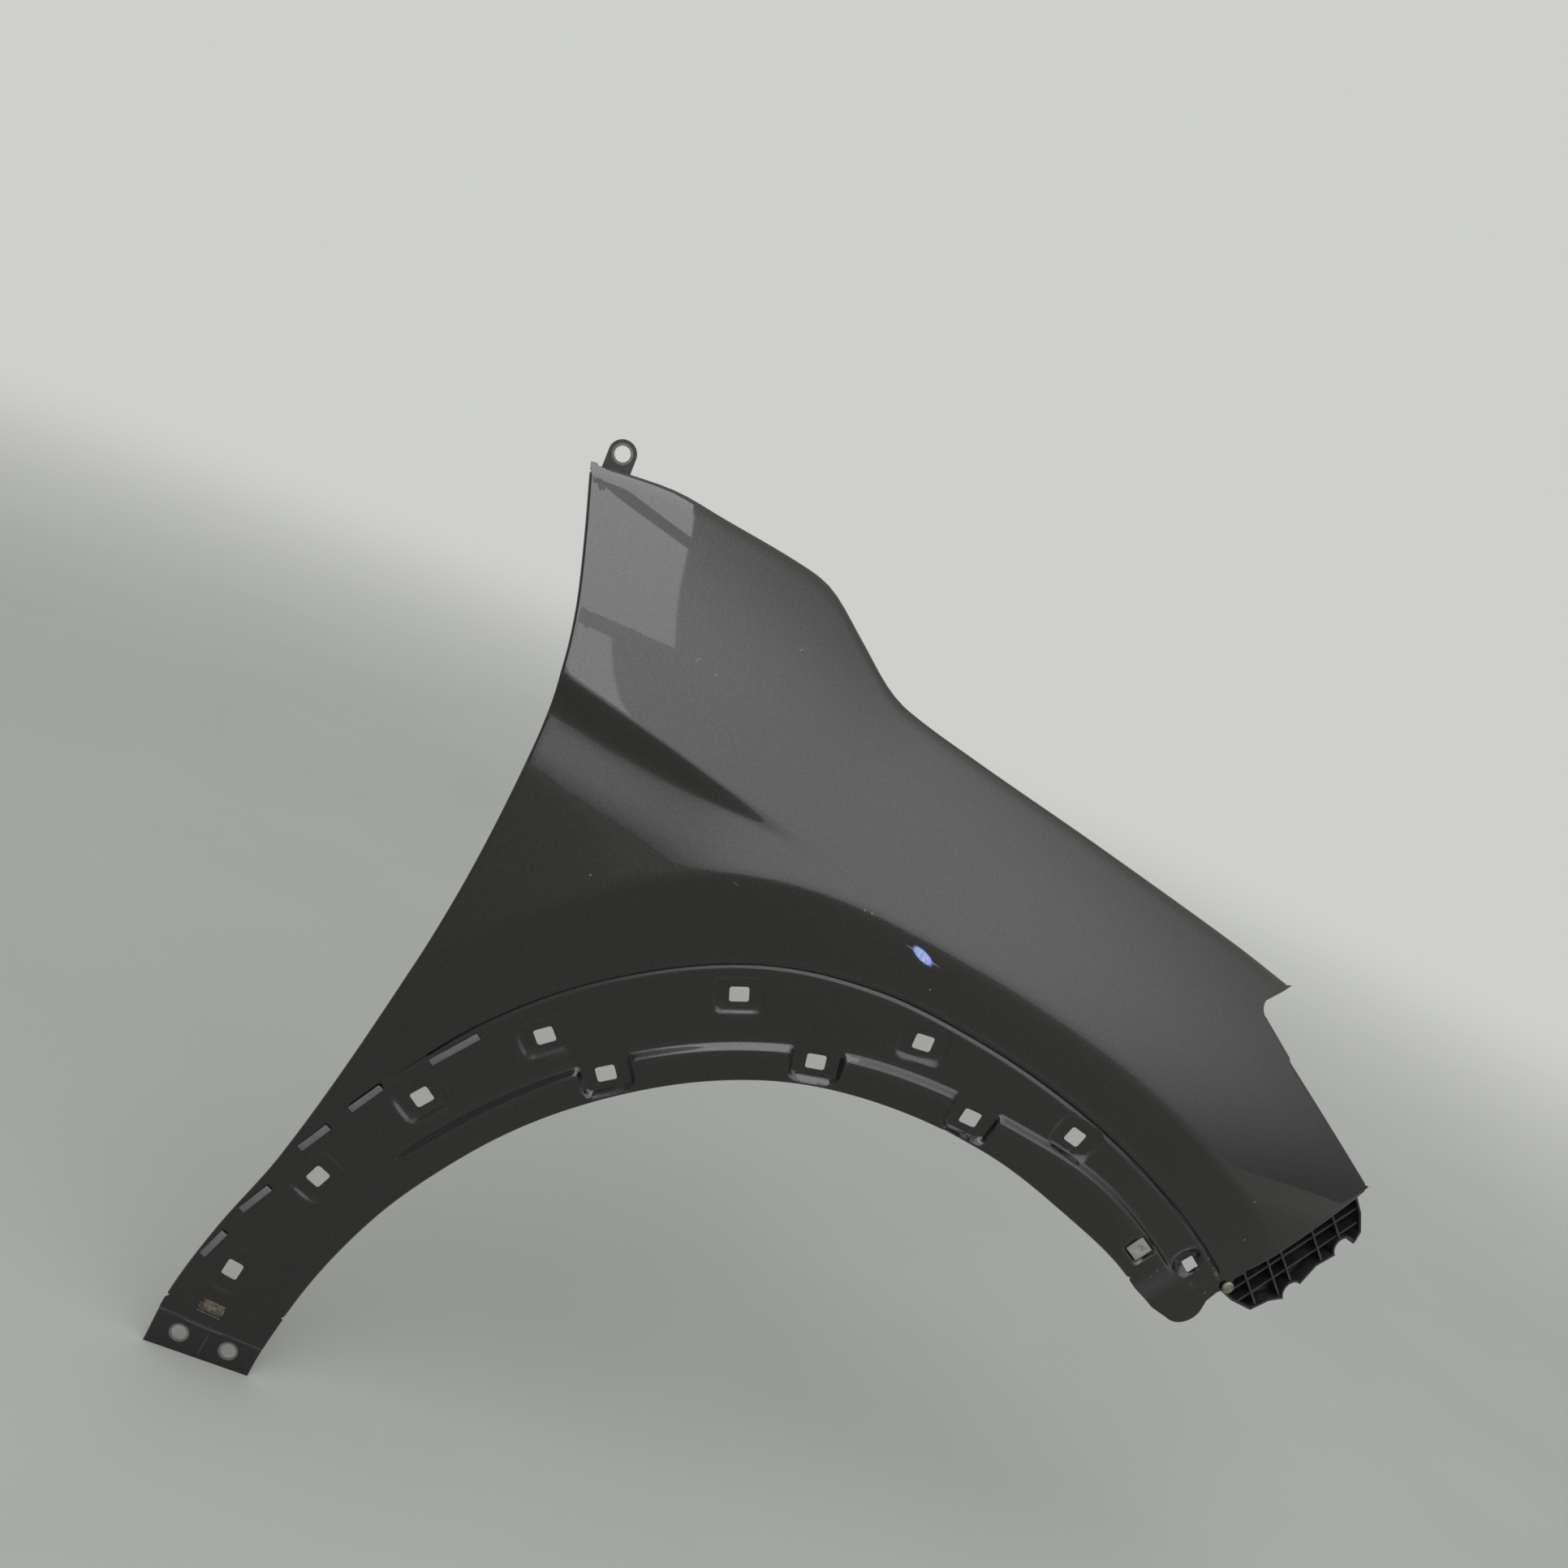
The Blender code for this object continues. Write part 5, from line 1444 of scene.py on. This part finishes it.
def black_plastic_values(nodes):
    places = nodes.places()
    grain = nodes.noise(places, 900.0, 2.0)
    dust = nodes.band(nodes.noise(places, 45.0, 4.0, 0.65), 0.50, 0.78)
    return {
        "Base Color": nodes.mix(dust * 0.5, PLASTIC_BLACK, PLASTIC_DUST),
        "Roughness": 0.42 + dust * 0.25,
        "Normal": nodes.bump(grain, 0.0001, 0.25),
    }


def rivet_values(nodes):
    places = nodes.places()
    stain = nodes.band(nodes.noise(places, 260.0, 3.0, 0.6), 0.42, 0.66)
    colour = nodes.mix(stain, RIVET_PLATE, RIVET_STAIN)
    return {"Base Color": colour, "Roughness": 0.42 + stain * 0.25, "Metallic": 0.85 - stain * 0.4}


def clip_values(nodes):
    places = nodes.places()
    rust = nodes.band(nodes.noise(places, 130.0, 3.0, 0.6), 0.46, 0.66)
    colour = nodes.mix(rust, CLIP_STEEL, CLIP_RUST)
    return {"Base Color": colour, "Roughness": 0.45 + rust * 0.3, "Metallic": 0.75 - rust * 0.6}


def pale_plastic_values(nodes):
    places = nodes.places()
    wear = nodes.noise(places, 150.0, 3.0)
    colour = nodes.mix(wear, *PLUG_COLOURS)
    return {"Base Color": colour, "Roughness": 0.5 + wear * 0.1,
            "Normal": nodes.bump(wear, 0.0002, 0.2)}


def foam_values(nodes):
    places = nodes.places()
    cells = nodes.noise(places, 1300.0, 2.0)
    soil = nodes.noise(places, 120.0, 3.0)
    colour = nodes.mix(cells * 0.5 + soil * 0.5, *FOAM_COLOURS)
    return {"Base Color": colour, "Roughness": 0.8 + soil * 0.1,
            "Normal": nodes.bump(cells, 0.0003, 0.6)}


black_plastic = finish("black_plastic", black_plastic_values)
tarnished_rivet = finish("tarnished_rivet", rivet_values)
stained_clip = finish("stained_clip_steel", clip_values)
pale_plastic = finish("pale_plastic", pale_plastic_values)
grey_foam = finish("grey_foam", foam_values)

# %% [markdown]
# Each copy says which node it stands for, and how wide its bevel is: narrow on thin spring
# steel, and wider on soft foam and moulded plastic.

# %% Small pieces
FOAM_STRIPS = 5

rounded_copy("bumper_guide", "ribbed_guide", 0.00025, black_plastic)
rounded_copy("guide_rivet", "rivet", 0.0002, tarnished_rivet)
rounded_copy("foot_spring_clip", "spring_clip", 0.00015, stained_clip)
rounded_copy("arch_plug", "square_plug", 0.0003, pale_plastic)
for number in range(1, FOAM_STRIPS + 1):
    tape = f"foam_tape_{number}"
    rounded_copy(tape, f"foam_strip_{number}", 0.0003, grey_foam)
